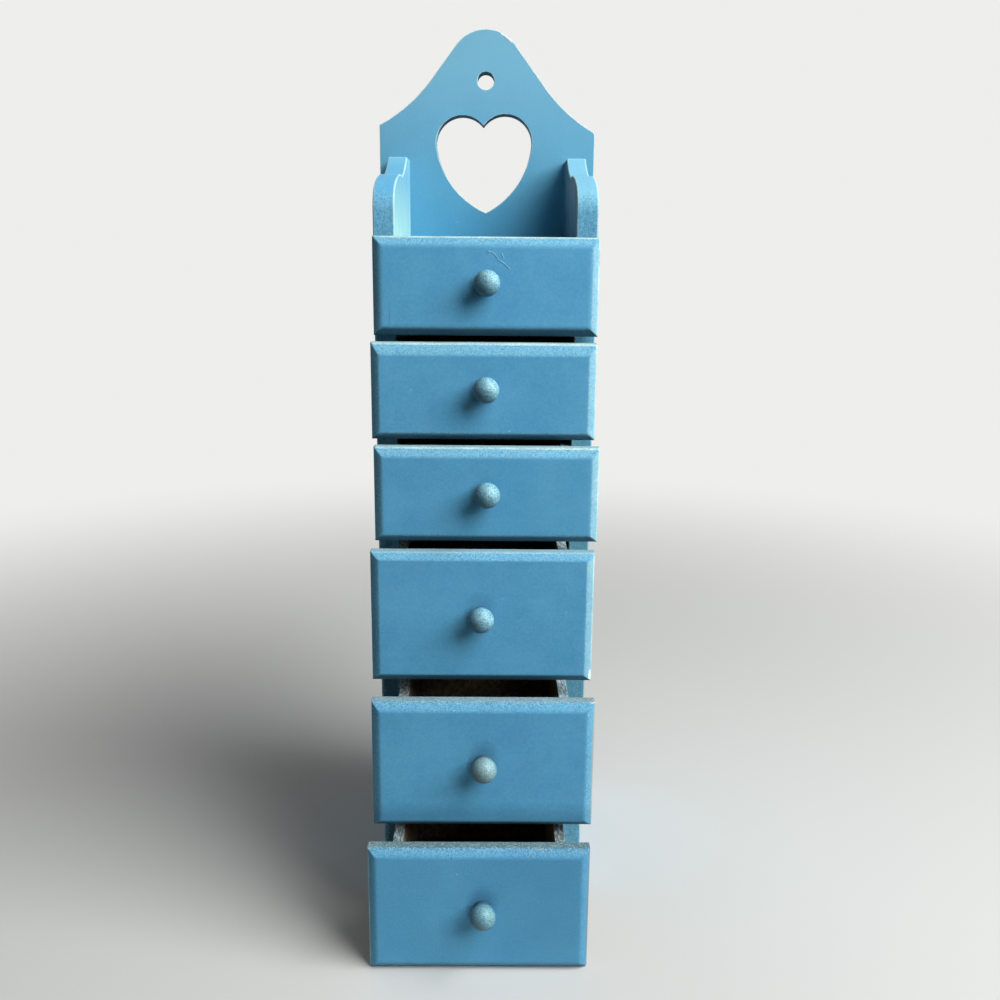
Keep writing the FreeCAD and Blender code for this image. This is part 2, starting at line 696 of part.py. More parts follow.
def make_box_bottom(drawer):
    place = (
        f"{drawer_x(drawer)} - {PANEL_WIDTH} / 2",
        f"{drawer_y(drawer)} - dims.box_housing",
        f"{box_low(drawer)} + dims.panel_rise",
    )
    length = f"{BOX_DEPTH} + dims.box_housing"
    board(f"drawer_{drawer}_bottom", (PANEL_WIDTH, length, "dims.panel_thickness"), place)


def make_box_brads(drawer):
    pins = []
    depth = f"{drawer_y(drawer)} + {BOX_DEPTH} - dims.box_wall / 2"
    for sign, direction in ((-1, TO_RIGHT), (1, TO_LEFT)):
        for height in box_pin_heights(drawer):
            place = (f"{drawer_x(drawer)} + {sign} * {BOX_WIDTH} / 2", depth, f"{box_low(drawer)} + {height}")
            pins.append(pin(direction, place, "dims.box_pin_length"))
    pin_group(f"drawer_{drawer}_brads", pins)


def draw_knob_profile(sketch):
    """Half section of a knob, from the face of its front: radius across, tenon up, ball down."""
    tenon = value("dims.knob_tenon_diameter / 2")
    length = value(TENON_LENGTH)
    neck = value("dims.knob_neck_diameter / 2")
    ball = value("dims.knob_diameter / 2")
    reach = value("dims.knob_reach")
    meet = (neck, math.sqrt(ball ** 2 - neck ** 2) - reach)
    end = add_line(sketch, (0, length), (tenon, length))
    shank = add_line(sketch, (tenon, length), (tenon, 0))
    seat = add_line(sketch, (tenon, 0), (neck, 0))
    collar = add_line(sketch, (neck, 0), meet)
    round_part = arc_through(sketch, (0, -reach), (0, -reach - ball), meet)
    axis = add_line(sketch, (0, -reach - ball), (0, length))
    join(sketch, end, 2, shank, 1)
    join(sketch, shank, 2, seat, 1)
    join(sketch, seat, 2, collar, 1)
    join(sketch, collar, 2, round_part, 2)
    join(sketch, round_part, 1, axis, 1)
    join(sketch, axis, 2, end, 1)
    for level in (end, seat):
        sketch.addConstraint(Sketcher.Constraint("Horizontal", level))
    for upright in (shank, collar, axis):
        sketch.addConstraint(Sketcher.Constraint("Vertical", upright))
    sketch.addConstraint(Sketcher.Constraint("PointOnObject", end, 1, -2))
    sketch.addConstraint(Sketcher.Constraint("PointOnObject", round_part, 3, -2))
    sketch.addConstraint(Sketcher.Constraint("PointOnObject", seat, 1, -1))
    drive(sketch, Sketcher.Constraint("DistanceX", -1, 1, shank, 2, tenon), "dims.knob_tenon_diameter / 2")
    drive(sketch, Sketcher.Constraint("DistanceX", -1, 1, collar, 1, neck), "dims.knob_neck_diameter / 2")
    drive(sketch, Sketcher.Constraint("DistanceY", -1, 1, end, 1, length), TENON_LENGTH)
    drive(sketch, Sketcher.Constraint("DistanceY", round_part, 3, -1, 1, reach), "dims.knob_reach")
    drive(sketch, Sketcher.Constraint("Radius", round_part, ball), "dims.knob_diameter / 2")


def make_knob(drawer):
    place = (
        f"{drawer_x(drawer)} + dims.knob_aside_{drawer}",
        f"{drawer_y(drawer)} - {FRONT_THICKNESS}",
        f"{front_low(drawer)} + {knob_height(drawer)}",
    )
    body = new_body(f"drawer_{drawer}_knob", place)
    profile = new_sketch(body, "XY_Plane")
    draw_knob_profile(profile)
    turned = body.newObject("PartDesign::Revolution", "Turned")
    turned.Profile = profile
    turned.ReferenceAxis = (profile, ["V_Axis"])
    turned.Angle = 360.0
    body.Tip = turned


def make_drawer(drawer):
    make_front(drawer)
    make_box_side(drawer, f"drawer_{drawer}_left", f"-{BOX_WIDTH} / 2", "dims.box_wall", False)
    make_box_side(drawer, f"drawer_{drawer}_right", f"{BOX_WIDTH} / 2 - dims.box_wall", "0", True)
    make_box_back(drawer)
    make_box_bottom(drawer)
    make_box_brads(drawer)
    make_knob(drawer)


# Assembly, tests and export


def find_faults(parts):
    """Every failed object, and every sub-part with a missing, broken or empty shape."""
    faults = [item.Name for item in doc.Objects if "Invalid" in item.State or "Error" in item.State]
    for part in parts:
        if part.Shape.isNull() or not part.Shape.isValid() or part.Shape.Volume <= 0:
            faults.append(part.Label)
    return faults


make_back_board()
make_side("left_side", "-dims.case_width / 2", "dims.side_thickness", False)
make_side("right_side", "dims.case_width / 2 - dims.side_thickness", "0", True)
make_pinned_board("bottom_board", "0", "dims.bottom_thickness")
make_pinned_board("tray_floor", TRAY_FLOOR_LOW, "dims.tray_floor_thickness")
for number in range(1, DRAWERS):
    make_divider(number)
make_side_brads()
make_back_brads()
for number in range(1, DRAWERS + 1):
    make_drawer(number)
doc.recompute()

sub_parts = [item for item in doc.Objects if item.TypeId in ("PartDesign::Body", "Part::MultiFuse")]
faults = find_faults(sub_parts)
if faults:
    raise ValueError("not built: " + ", ".join(faults))

os.makedirs("parts", exist_ok=True)
for part in sub_parts:
    part.Shape.exportStep(os.path.join("parts", f"{part.Label}.step"))
print(len(sub_parts), "sub-parts")
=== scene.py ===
import bmesh
import bpy
import math
from collections import namedtuple
from mathutils import Matrix, Vector, noise
from mathutils.geometry import delaunay_2d_cdt


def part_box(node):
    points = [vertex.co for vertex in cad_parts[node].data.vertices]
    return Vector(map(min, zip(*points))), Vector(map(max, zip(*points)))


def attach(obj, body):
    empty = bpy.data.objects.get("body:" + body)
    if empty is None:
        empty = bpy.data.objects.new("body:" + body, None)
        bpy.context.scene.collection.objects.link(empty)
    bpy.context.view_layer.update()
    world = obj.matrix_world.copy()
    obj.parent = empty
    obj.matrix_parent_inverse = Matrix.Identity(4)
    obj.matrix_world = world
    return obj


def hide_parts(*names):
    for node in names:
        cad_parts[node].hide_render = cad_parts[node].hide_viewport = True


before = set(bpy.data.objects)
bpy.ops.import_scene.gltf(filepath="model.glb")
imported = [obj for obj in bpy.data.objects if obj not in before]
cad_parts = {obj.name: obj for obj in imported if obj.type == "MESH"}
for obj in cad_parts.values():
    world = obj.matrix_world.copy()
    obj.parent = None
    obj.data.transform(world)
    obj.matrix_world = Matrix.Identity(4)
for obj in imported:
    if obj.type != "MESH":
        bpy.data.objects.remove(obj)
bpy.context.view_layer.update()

# Chalk paint on pine
# The whole case was brushed with one coat of matte blue chalk paint: a dry, slightly cloudy colour with
# faint brush strokes. It is rubbed pale along the arrises, and sawn edges show as a fine pale speckle.

MM = 0.001
MIX_A, MIX_B, MIX_RESULT = 6, 7, 2
PAINT_BODY = "#4691ba"
PAINT_PALE = "#519bc2"
PAINT_DEEP = "#3a7ba1"
PAINT_CHALKED = "#8ac2cf"
PAINT_WORN = "#cfe6d2"
PAINT_IN_PORES = "#2b6a86"
PAINTED_SHADE_BELOW = "#1f4356"
DARK_SPECK = "#2b5873"
CHALK_WHITE = "#bae0c9"
BARE_PRIMER = "#e2ded0"
PALE_GRIT, DARK_GRIT = "#a3c0c0", "#284c5a"
INNER_TINT_FOOT, INNER_TINT_HEAD = 360.0, 392.0

Flaw = namedtuple("Flaw", "x z half_width half_height colour soft share", defaults=(0.3, 0.8))


def linear(colour):
    """An sRGB hex colour as linear RGBA."""
    parts = [int(colour[i:i + 2], 16) / 255 for i in (1, 3, 5)]
    return tuple(c / 12.92 if c <= 0.04045 else ((c + 0.055) / 1.055) ** 2.4 for c in parts) + (1.0,)


def add(tree, kind, inputs=None, **settings):
    """Adds a node. Settings are its properties. Inputs go by name or number, and each is a value, a hex
    colour, a socket to link, or a node whose first output is linked."""
    node = tree.nodes.new(kind)
    for name, setting in settings.items():
        setattr(node, name, setting)
    for name, value in (inputs or {}).items():
        if isinstance(value, bpy.types.Node):
            value = value.outputs[0]
        if isinstance(value, bpy.types.NodeSocket):
            tree.links.new(value, node.inputs[name])
        else:
            is_colour = isinstance(value, str) and value.startswith("#")
            node.inputs[name].default_value = linear(value) if is_colour else value
    return node


def per(size):
    """The texture scale that gives features of a size in millimetres."""
    return 1 / (size * MM)


def new_finish(name):
    """An empty material and its object coordinates."""
    material = bpy.data.materials.new(name)
    material.use_nodes = True
    tree = material.node_tree
    tree.nodes.clear()
    return material, tree, add(tree, "ShaderNodeTexCoord").outputs["Object"]


def overlap(tree, *shares):
    """How far several shares from 0 to 1 hold in one place, which is their product."""
    held = shares[0]
    for share in shares[1:]:
        held = add(tree, "ShaderNodeMath", {0: held, 1: share}, operation="MULTIPLY")
    return held


def coats(tree, colour, *layers):
    """Colours laid over the first one in turn. Each comes with the shares that say how far it covers."""
    for over, *shares in layers:
        mix = add(tree, "ShaderNodeMix", {0: overlap(tree, *shares), MIX_A: colour, MIX_B: over},
                  data_type="RGBA", clamp_factor=True)
        colour = mix.outputs[MIX_RESULT]
    return colour


def patches(tree, place, size, low, high, detail=3.0, seed=0.0, stretch=(1, 1, 1)):
    """Cloudy patches of a size in millimetres, from 0 where the noise is under low to 1 over high."""
    moved = add(tree, "ShaderNodeMapping", {"Vector": place, "Location": (seed, 0, 0), "Scale": stretch})
    cloud = add(tree, "ShaderNodeTexNoise",
                {"Vector": moved, "Scale": per(size), "Detail": detail, "Roughness": 0.6})
    return add(tree, "ShaderNodeMapRange", {"Value": cloud, "From Min": low, "From Max": high})


def specks(tree, place, spacing, radius, share, seed):
    """Round specks: one may stand in each cell of the spacing, and a share of the cells have one."""
    moved = add(tree, "ShaderNodeMapping", {"Vector": place, "Location": (seed, seed, 0)})
    cells = add(tree, "ShaderNodeTexVoronoi", {"Vector": moved, "Scale": per(spacing)}).outputs
    rim, soft = radius / spacing, 0.4
    dot = add(tree, "ShaderNodeMapRange", {
        "Value": cells["Distance"], "From Min": rim * (1 + soft), "From Max": rim * (1 - soft)})
    lot = add(tree, "ShaderNodeSeparateColor", {0: cells["Color"]})
    drawn = add(tree, "ShaderNodeMath", {0: lot, 1: share}, operation="LESS_THAN")
    return overlap(tree, dot, drawn)


def blot(tree, place, flaw):
    """An oval on a face, in millimetres: its share within it, and 0 past a ragged or a soft edge."""
    rag_width, rag_depth, rim = 1.2, 0.9, 1.2
    ragged = add(tree, "ShaderNodeTexNoise", {"Vector": place, "Scale": per(rag_width), "Detail": 3.0})
    middle = (flaw.x * MM, 0, flaw.z * MM)
    shift = add(tree, "ShaderNodeVectorMath", {0: place, 1: middle}, operation="SUBTRACT")
    sizes = (per(flaw.half_width), 0, per(flaw.half_height))
    shares = add(tree, "ShaderNodeVectorMath", {0: shift, 1: sizes}, operation="MULTIPLY")
    reach = add(tree, "ShaderNodeVectorMath", {0: shares}, operation="LENGTH").outputs["Value"]
    edge = add(tree, "ShaderNodeMath", {0: ragged, 1: rag_depth, 2: reach}, operation="MULTIPLY_ADD")
    return add(tree, "ShaderNodeMapRange", {
        "Value": edge, "From Min": rim + flaw.soft, "From Max": rim, "To Max": flaw.share})


def finish_surface(tree, colour, roughness, relief, depth, specular=0.3):
    """The shader itself: a rough, barely shining surface. Each part of the relief is one or more patterns
    and a weight to multiply, and their sum times the depth, in millimetres, is the height of the bumps."""
    height = 0.0
    for part in relief:
        height = add(tree, "ShaderNodeMath", {0: overlap(tree, *part), 1: height}, operation="ADD")
    bump = add(tree, "ShaderNodeBump", {"Height": height, "Distance": depth * MM, "Strength": 1.0})
    shader = add(tree, "ShaderNodeBsdfPrincipled", {
        "Base Color": colour, "Roughness": roughness, "Normal": bump, "IOR": 1.5,
        "Specular IOR Level": specular})
    add(tree, "ShaderNodeOutputMaterial", {"Surface": shader})


def chalk_paint(name, strokes, fibre, seed, deep=0.0, chalk=(0.04, 0.3), fade=None, inner=None,
                dust=None, crest=0.0, underside_shade=0.6, flaws=()):
    """Matte brushed paint. Strokes is the stretch of the brush marks, fibre that of the speckle on sawn
    wood, deep a share of darker paint all over, and chalk the least and most white on sawn wood. Fade
    is the heights in millimetres over which the paint turns paler, partly as painted light on the back
    board. Inner tints a face beside the tray: its place across, its colour, and the shares of that at
    the foot and the head; on the right board that tint is painted shade. Dust is the share that lies on
    level surfaces and its colour, crest the height of the edge near which grit sticks, and flaws are
    blots in places of their own. Undersides get a share of painted shade."""
    material, tree, place = new_finish(name)
    cut = add(tree, "ShaderNodeAttribute", attribute_name="cut").outputs["Fac"]
    wear = add(tree, "ShaderNodeAttribute", attribute_name="wear").outputs["Fac"]
    arris = add(tree, "ShaderNodeMapRange", {"Value": wear, "From Min": 0.4, "From Max": 1.0})
    spot = add(tree, "ShaderNodeSeparateXYZ", {0: place}).outputs
    normal = add(tree, "ShaderNodeNewGeometry").outputs["Normal"]
    facing = add(tree, "ShaderNodeSeparateXYZ", {0: normal}).outputs

    # The coat: clouds some 25 mm wide, brush marks 1.5 mm apart and a grain of 1 mm. Real bristles leave
    # finer marks, which are drawn this coarse so that they show.
    cloud = patches(tree, place, 25, 0.34, 0.66, detail=4, seed=seed)
    marks = patches(tree, place, 1.5, 0.3, 0.7, detail=2, seed=seed, stretch=strokes)
    grain = patches(tree, place, 1.0, 0.35, 0.65, detail=2, seed=seed)
    layers = [(PAINT_PALE, cloud), (PAINT_DEEP, deep), (PAINT_DEEP, marks, 0.07),
              (PAINT_CHALKED, grain, 0.13)]
    if fade:
        bleached = add(tree, "ShaderNodeMapRange", {
            "Value": spot["Z"], "From Min": fade[0] * MM, "From Max": fade[1] * MM, "To Max": 0.45})
        layers.append((PAINT_CHALKED, bleached))
    # A face beside the tray gets a tint of its own; on the right board the dark tint is painted shade
    if inner:
        across, inner_colour, foot, head = inner
        face = add(tree, "ShaderNodeMath", {0: spot["X"], 1: across * MM, 2: 0.3 * MM}, operation="COMPARE")
        height = add(tree, "ShaderNodeMapRange", {
            "Value": spot["Z"], "From Min": INNER_TINT_FOOT * MM, "From Max": INNER_TINT_HEAD * MM,
            "To Min": foot, "To Max": head})
        streaks = patches(tree, place, 4.0, 0.3, 0.7, detail=4, seed=seed, stretch=(1, 1, 0.25))
        uneven = add(tree, "ShaderNodeMapRange", {"Value": streaks, "To Min": 0.7, "To Max": 1.15})
        layers.append((inner_colour, face, height, uneven))

    # Sawn and bevelled wood drinks the paint: a chalky speckle under 1 mm, with dark pores in it
    speckle = patches(tree, place, 0.65, 0.47, 0.58, detail=3, seed=seed + 0.3, stretch=fibre)
    chalky = add(tree, "ShaderNodeMapRange", {"Value": speckle, "To Min": chalk[0], "To Max": chalk[1]})
    pores = patches(tree, place, 0.9, 0.52, 0.6, detail=2, seed=seed + 0.7, stretch=fibre)
    layers += [(CHALK_WHITE, chalky, cut), (PAINT_IN_PORES, pores, cut, 0.6)]

    # A few pale and dark specks, each about 0.6 mm wide
    layers.append((PAINT_WORN, specks(tree, place, 8.0, 0.28, 0.3, seed), 0.5))
    layers.append((DARK_SPECK, specks(tree, place, 13.0, 0.3, 0.12, seed + 0.4), 0.5))

    # Arrises rubbed all along, more in some stretches, and chipped down to the primer in small spots
    stretch = patches(tree, place, 9.0, 0.3, 0.7, detail=4, seed=seed + 0.5)
    rubbed = add(tree, "ShaderNodeMapRange", {"Value": stretch, "To Min": 0.25, "To Max": 0.7})
    chips = patches(tree, place, 1.4, 0.62, 0.67, detail=2, seed=seed + 0.9)
    layers += [(PAINT_WORN, rubbed, arris), (BARE_PRIMER, chips, arris, 0.7)]

    # Flaws show on the front and the edges, and not behind, where the same place across would meet them
    not_behind = add(tree, "ShaderNodeMapRange", {"Value": facing["Y"], "From Min": 0.6, "From Max": 0.3})
    layers += [(flaw.colour, blot(tree, place, flaw), not_behind) for flaw in flaws]

    # Dust lies on level surfaces, and grit clings to the edge of the crest
    if dust:
        dust_share, dust_colour = dust
        level = add(tree, "ShaderNodeMapRange", {"Value": facing["Z"], "From Min": 0.75, "From Max": 0.97})
        film = patches(tree, place, 0.8, 0.2, 0.42, detail=3, seed=seed + 1.1)
        layers.append((dust_colour, level, dust_share, film))
        rising = add(tree, "ShaderNodeMapRange", {"Value": facing["Z"], "From Min": 0.4, "From Max": 0.6})
        near_edge = add(tree, "ShaderNodeMapRange", {
            "Value": spot["Z"], "From Min": (crest - 3.6) * MM, "From Max": (crest - 0.4) * MM})
        for spacing, share, grit in ((0.85, 0.7, PALE_GRIT), (0.95, 0.8, DARK_GRIT)):
            grains = specks(tree, place, spacing, 0.36, share, seed + spacing)
            layers.append((grit, rising, near_edge, dust_share * 0.5, grains))

    # Painted shade: undersides are painted darker, by a share that each paint sets
    shade_below = add(tree, "ShaderNodeMapRange", {
        "Value": facing["Z"], "From Min": -0.25, "From Max": -0.6, "To Max": underside_shade})
    layers.append((PAINTED_SHADE_BELOW, shade_below))

    roughness = add(tree, "ShaderNodeMapRange", {"Value": grain, "To Min": 0.66, "To Max": 0.82})
    finish_surface(tree, coats(tree, PAINT_BODY, *layers), roughness,
                   [(marks, 0.12), (grain, 0.2), (speckle, cut, 0.35)], depth=0.05)
    return material


# The two side boards
# Straight-grained softwood boards, bandsawn at the top to a hollow and a rounded shoulder, with sanded
# arrises. They stand before the back board, pinned through it and into the tray floor and the bottom.

CORNER_ROUND = 0.5
CORNER_TURN = math.radians(20)
SAW_WAVER = 0.12
SAW_WAVE = 16.0
SIDE_THICKNESS = 10.6
SIDE_ARRIS = 0.7
SIDE_FLAT = 20.5
COVE_DROP = 12.7
COVE_RADIUS = 75.0
NOTCH_STEP = 0.7
SHOULDER_RUN = 46.0
SHOULDER_CROWN_RADIUS = 100.0
SHOULDER_RADIUS = 14.0
SHOULDER_SANDED = 381.0
TRAY_FOOT = 340.0
LONG_GRAIN_CUT = 0.65
FRONT_EDGE_CUT = 0.55
SANDED_CUT = 0.2
PIN_RADIUS = 0.7
PIN_SUNK = 0.3
CASE_PIN_INSET = 18.0

EdgePoint = namedtuple("EdgePoint", "spot inward core beyond wear")


def box_in_mm(node):
    """The lowest and the highest corner of a plain piece, in millimetres."""
    return [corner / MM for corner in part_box(node)]


def left_of(way):
    """A way turned a quarter to the left."""
    return Vector((-way.y, way.x))


def arc(centre, radius, first, last, step=1.6):
    """Points along an arc between two angles in radians, both ends included."""
    count = max(2, round(abs(last - first) * radius / step))
    turns = [first + (last - first) * i / count for i in range(count + 1)]
    return [Vector((centre[0] + radius * math.cos(turn), centre[1] + radius * math.sin(turn)))
            for turn in turns]


def way_to(centre, spot):
    """The angle at which a spot is seen from a centre."""
    return math.atan2(spot[1] - centre[1], spot[0] - centre[0])


def sanded(points):
    """An outline with the wood on its left: sharp corners become small rounds, and long runs get points.
    Core is how far in an outer round shrinks to nothing, and beyond the way that the corner then moves."""
    points = [p for i, p in enumerate(points) if (p - points[i - 1]).length > 0.01]
    count = len(points)
    eased = []
    for i, spot in enumerate(points):
        before = spot - points[i - 1]
        after = points[(i + 1) % count] - spot
        a, b = before.normalized(), after.normalized()
        turn = math.atan2(a.x * b.y - a.y * b.x, a.dot(b))
        mitre = (left_of(a) + left_of(b)) / (1 + a.dot(b))
        if abs(turn) < CORNER_TURN:
            eased.append(EdgePoint(spot, mitre, math.inf, mitre, 0.0))
            continue
        back = min(CORNER_ROUND * math.tan(abs(turn) / 2), 0.4 * before.length, 0.4 * after.length)
        radius = back / math.tan(abs(turn) / 2)
        side = math.copysign(1.0, turn)
        centre = spot - a * back + left_of(a) * radius * side
        steps = 4
        for step in range(steps + 1):
            inward = Matrix.Rotation(turn * step / steps, 2) @ left_of(a)
            core = radius if turn > 0 else 0.0
            eased.append(EdgePoint(centre - inward * radius * side, inward, core, mitre, 1.0))
    return with_runs(eased)


def with_runs(eased):
    """Adds points along the straight runs: close to the corners, and a few millimetres apart between."""
    beside_corner = (1.3, 3.0)
    shortest_run = 2.7
    run_step = 7.0
    outline = []
    for i, point in enumerate(eased):
        outline.append(point)
        after = eased[(i + 1) % len(eased)]
        run = after.spot - point.spot
        if run.length < shortest_run:
            continue
        way = run.normalized()
        places = [d for d in beside_corner if d < run.length / 2] if point.wear else []
        ending = [run.length - d for d in beside_corner if d < run.length / 2] if after.wear else []
        start = places[-1] if places else 0.0
        stop = ending[-1] if ending else run.length
        parts = max(1, math.ceil((stop - start) / run_step))
        places += [start + (stop - start) * k / parts for k in range(1, parts)] + ending[::-1]
        for place in places:
            outline.append(EdgePoint(point.spot + way * place, left_of(way), math.inf, left_of(way), 0.0))
    return outline


def set_in(point, distance):
    """Where a point of an outline lies once the outline has moved a distance into the wood."""
    if distance <= point.core:
        return point.spot + point.inward * distance
    return point.spot + point.inward * point.core + point.beyond * (distance - point.core)


def arris_steps(thickness, ease):
    """Steps through a board, flat of one face to flat of the other: inset, depth, wear and cut."""
    half_worn, unworn = 0.12, 0.4
    steps = [(ease + unworn, 0.0, 0.0, 0.0), (ease + half_worn, 0.0, 0.5, 0.0)]
    for degrees in (0, 30, 60, 90):
        turn = math.radians(degrees)
        steps.append((ease * (1 - math.sin(turn)), ease * (1 - math.cos(turn)), 1.0, degrees / 90))
    for past, wear in ((half_worn, 0.5), (unworn, 0.0)):
        if ease + past < thickness / 2:
            steps.append((0.0, ease + past, wear, 1.0))
    return steps + [(inset, thickness - depth, wear, cut) for inset, depth, wear, cut in reversed(steps)]


def bridge(mesh, first, second):
    """Faces between two closed rings of as many points, some of which may be one and the same."""
    count = len(first)
    for i in range(count):
        k = (i + 1) % count
        corners = []
        for vert in (first[i], first[k], second[k], second[i]):
            if vert not in corners:
                corners.append(vert)
        if len(corners) > 2:
            mesh.faces.new(corners)


def crossings(place, edges, spots):
    """How many edges a ray to the right of a place crosses, which is odd within the wood."""
    count = 0
    for first, second in edges:
        (ax, ay), (bx, by) = spots[first], spots[second]
        if (ay > place[1]) != (by > place[1]):
            count += place[0] < ax + (bx - ax) * (place[1] - ay) / (by - ay)
    return count


def close_face(mesh, rings, flat):
    """A flat face bounded by a ring and pierced by the others. Flat gives a point's place in its plane."""
    all_triangles, same_spot = 0, 1e-5
    corners, edges = [], []
    for ring in rings:
        loop = [vert for i, vert in enumerate(ring) if vert is not ring[i - 1]]
        first = len(corners)
        edges += [(first + i, first + (i + 1) % len(loop)) for i in range(len(loop))]
        corners += loop
    flat_spots = [flat(vert.co) / MM for vert in corners]
    spots = [tuple(spot) for spot in flat_spots]
    filled = delaunay_2d_cdt(flat_spots, edges, [], all_triangles, same_spot)
    for face in filled[2]:
        kept = [filled[3][i][0] for i in face]
        middle = [sum(spots[i][axis] for i in kept) / 3 for axis in (0, 1)]
        if crossings(middle, edges, spots) % 2:
            mesh.faces.new([corners[i] for i in kept])


def add_ring(mesh, spots, wears, cuts):
    """A closed ring of points; neighbours in one place share a point."""
    same_place = 0.001 * MM
    wear_layer = mesh.verts.layers.float["wear"]
    cut_layer = mesh.verts.layers.float["cut"]
    ring = []
    for spot, wear, cut in zip(spots, wears, cuts):
        if ring and (spot - ring[-1].co).length < same_place:
            ring.append(ring[-1])
            continue
        vert = mesh.verts.new(spot)
        vert[wear_layer] = wear
        vert[cut_layer] = cut
        ring.append(vert)
    return ring


def add_dimple(mesh, centre, put):
    """The dent that a punched pin leaves in a face, down to beside its shank. Returns the rim. Each step
    is a ring's radius, its depth, its wear and its cut."""
    steps = ((1.25, 0.0, 0.0, 0.0), (1.0, 0.06, 0.7, 0.5), (PIN_RADIUS + 0.06, PIN_SUNK, 0.5, 0.5),
             (PIN_RADIUS + 0.02, 1.0, 0.0, 0.5))
    sides = 14
    rings = []
    turns = [2 * math.pi * i / sides for i in range(sides)]
    for radius, depth, wear, cut in steps:
        spots = [put(centre[0] + radius * math.cos(turn), centre[1] + radius * math.sin(turn), depth)
                 for turn in turns]
        rings.append(add_ring(mesh, spots, [wear] * sides, [cut] * sides))
    for first, second in zip(rings, rings[1:]):
        bridge(mesh, first, second)
    mesh.faces.new(rings[-1])
    return rings[0]


def new_mesh():
    """An empty mesh whose points know how worn they are and how far they show sawn wood."""
    mesh = bmesh.new()
    mesh.verts.layers.float.new("wear")
    mesh.verts.layers.float.new("cut")
    return mesh


def waver_at(point, most):
    """How much the saw's waver takes off an edge at a point, which is one amount all round a corner."""
    anchor = point.spot if point.core == math.inf else set_in(point, point.core)
    return most * (0.5 + 0.5 * noise.noise(Vector((*anchor, 0.0)) / SAW_WAVE))


def saw_board(outlines, thickness, ease, put, flat, dimples=(), waver=SAW_WAVER,
              rough=lambda spot: 1.0, rubbed=1.0):
    """A board from its outline and cut-outs. Put gives the place of a point across, up and into the
    board from the face that has the dimples, flat a place's across and up, rough how far the saw's
    marks are left at a point of the outline, and rubbed how worn the arrises are."""
    mesh = new_mesh()
    steps = arris_steps(thickness, ease)
    starts, ends = [], []
    for outline in outlines:
        off = [waver_at(point, waver) for point in outline]
        rings = []
        for inset, depth, wear, cut in steps:
            spots = [put(*set_in(point, inset + more), depth) for point, more in zip(outline, off)]
            wears = [rubbed * (max(wear, point.wear) if cut == 1.0 else wear) for point in outline]
            rings.append(add_ring(mesh, spots, wears, [cut * rough(point.spot) for point in outline]))
        for first, second in zip(rings, rings[1:]):
            bridge(mesh, first, second)
        starts.append(rings[0])
        ends.append(rings[-1])
    starts += [add_dimple(mesh, centre, put) for centre in dimples]
    close_face(mesh, starts, flat)
    close_face(mesh, ends, flat)
    return mesh


def shown(name, data):
    """A new object in the scene."""
    piece = bpy.data.objects.new(name, data)
    bpy.context.scene.collection.objects.link(piece)
    return piece


def make_piece(name, mesh, material, node):
    """The finished piece, kept within the plain solid that it stands for."""
    low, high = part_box(node)
    for vert in mesh.verts:
        vert.co = [min(max(c, a), b) for c, a, b in zip(vert.co, low, high)]
    bmesh.ops.recalc_face_normals(mesh, faces=mesh.faces)
    data = bpy.data.meshes.new(name)
    mesh.to_mesh(data)
    mesh.free()
    data.materials.append(material)
    data.shade_smooth()
    return shown(name, data)


def side_outline(depth, height):
    """Profile of a side from its lower front corner: depth across, height up."""
    flat_front = depth - SIDE_FLAT
    cove_low = height - COVE_DROP
    run = SHOULDER_RUN
    chord = Vector((flat_front - run, COVE_DROP))
    lift = math.sqrt(COVE_RADIUS ** 2 - (chord.length / 2) ** 2) / chord.length
    cove = Vector(((run + flat_front) / 2 - chord.y * lift, (cove_low + height) / 2 + chord.x * lift))
    broad = Vector((run, cove_low + NOTCH_STEP - SHOULDER_CROWN_RADIUS))
    spread = SHOULDER_CROWN_RADIUS - SHOULDER_RADIUS
    swing = math.asin((run - SHOULDER_RADIUS) / spread)
    tight = Vector((SHOULDER_RADIUS, broad.y + spread * math.cos(swing)))
    points = [Vector((0, 0)), Vector((depth, 0)), Vector((depth, height))]
    points += arc(cove, COVE_RADIUS, way_to(cove, (flat_front, height)), way_to(cove, (run, cove_low)))
    points += arc(broad, SHOULDER_CROWN_RADIUS, math.pi / 2, math.pi / 2 + swing)
    points += arc(tight, SHOULDER_RADIUS, math.pi / 2 + swing, math.pi)[1:]
    return points


def sanded_top(spot):
    """How much sawn wood shows round a side board: its top was sanded smooth down to the shoulder, and
    so was all below the tray but the front edge."""
    if spot.y < TRAY_FOOT:
        on_front_edge = spot.x <= 1.0
        return FRONT_EDGE_CUT if on_front_edge else SANDED_CUT
    fades_over = 6.0
    return min(LONG_GRAIN_CUT, max(SANDED_CUT, (SHOULDER_SANDED - spot.y) / fades_over))


case_paint = chalk_paint("chalk paint, brushed up the boards", (1, 1, 0.03), (1, 1, 0.6), seed=0.11)
left_inner, right_inner = box_in_mm("left_side")[1].x, box_in_mm("right_side")[0].x
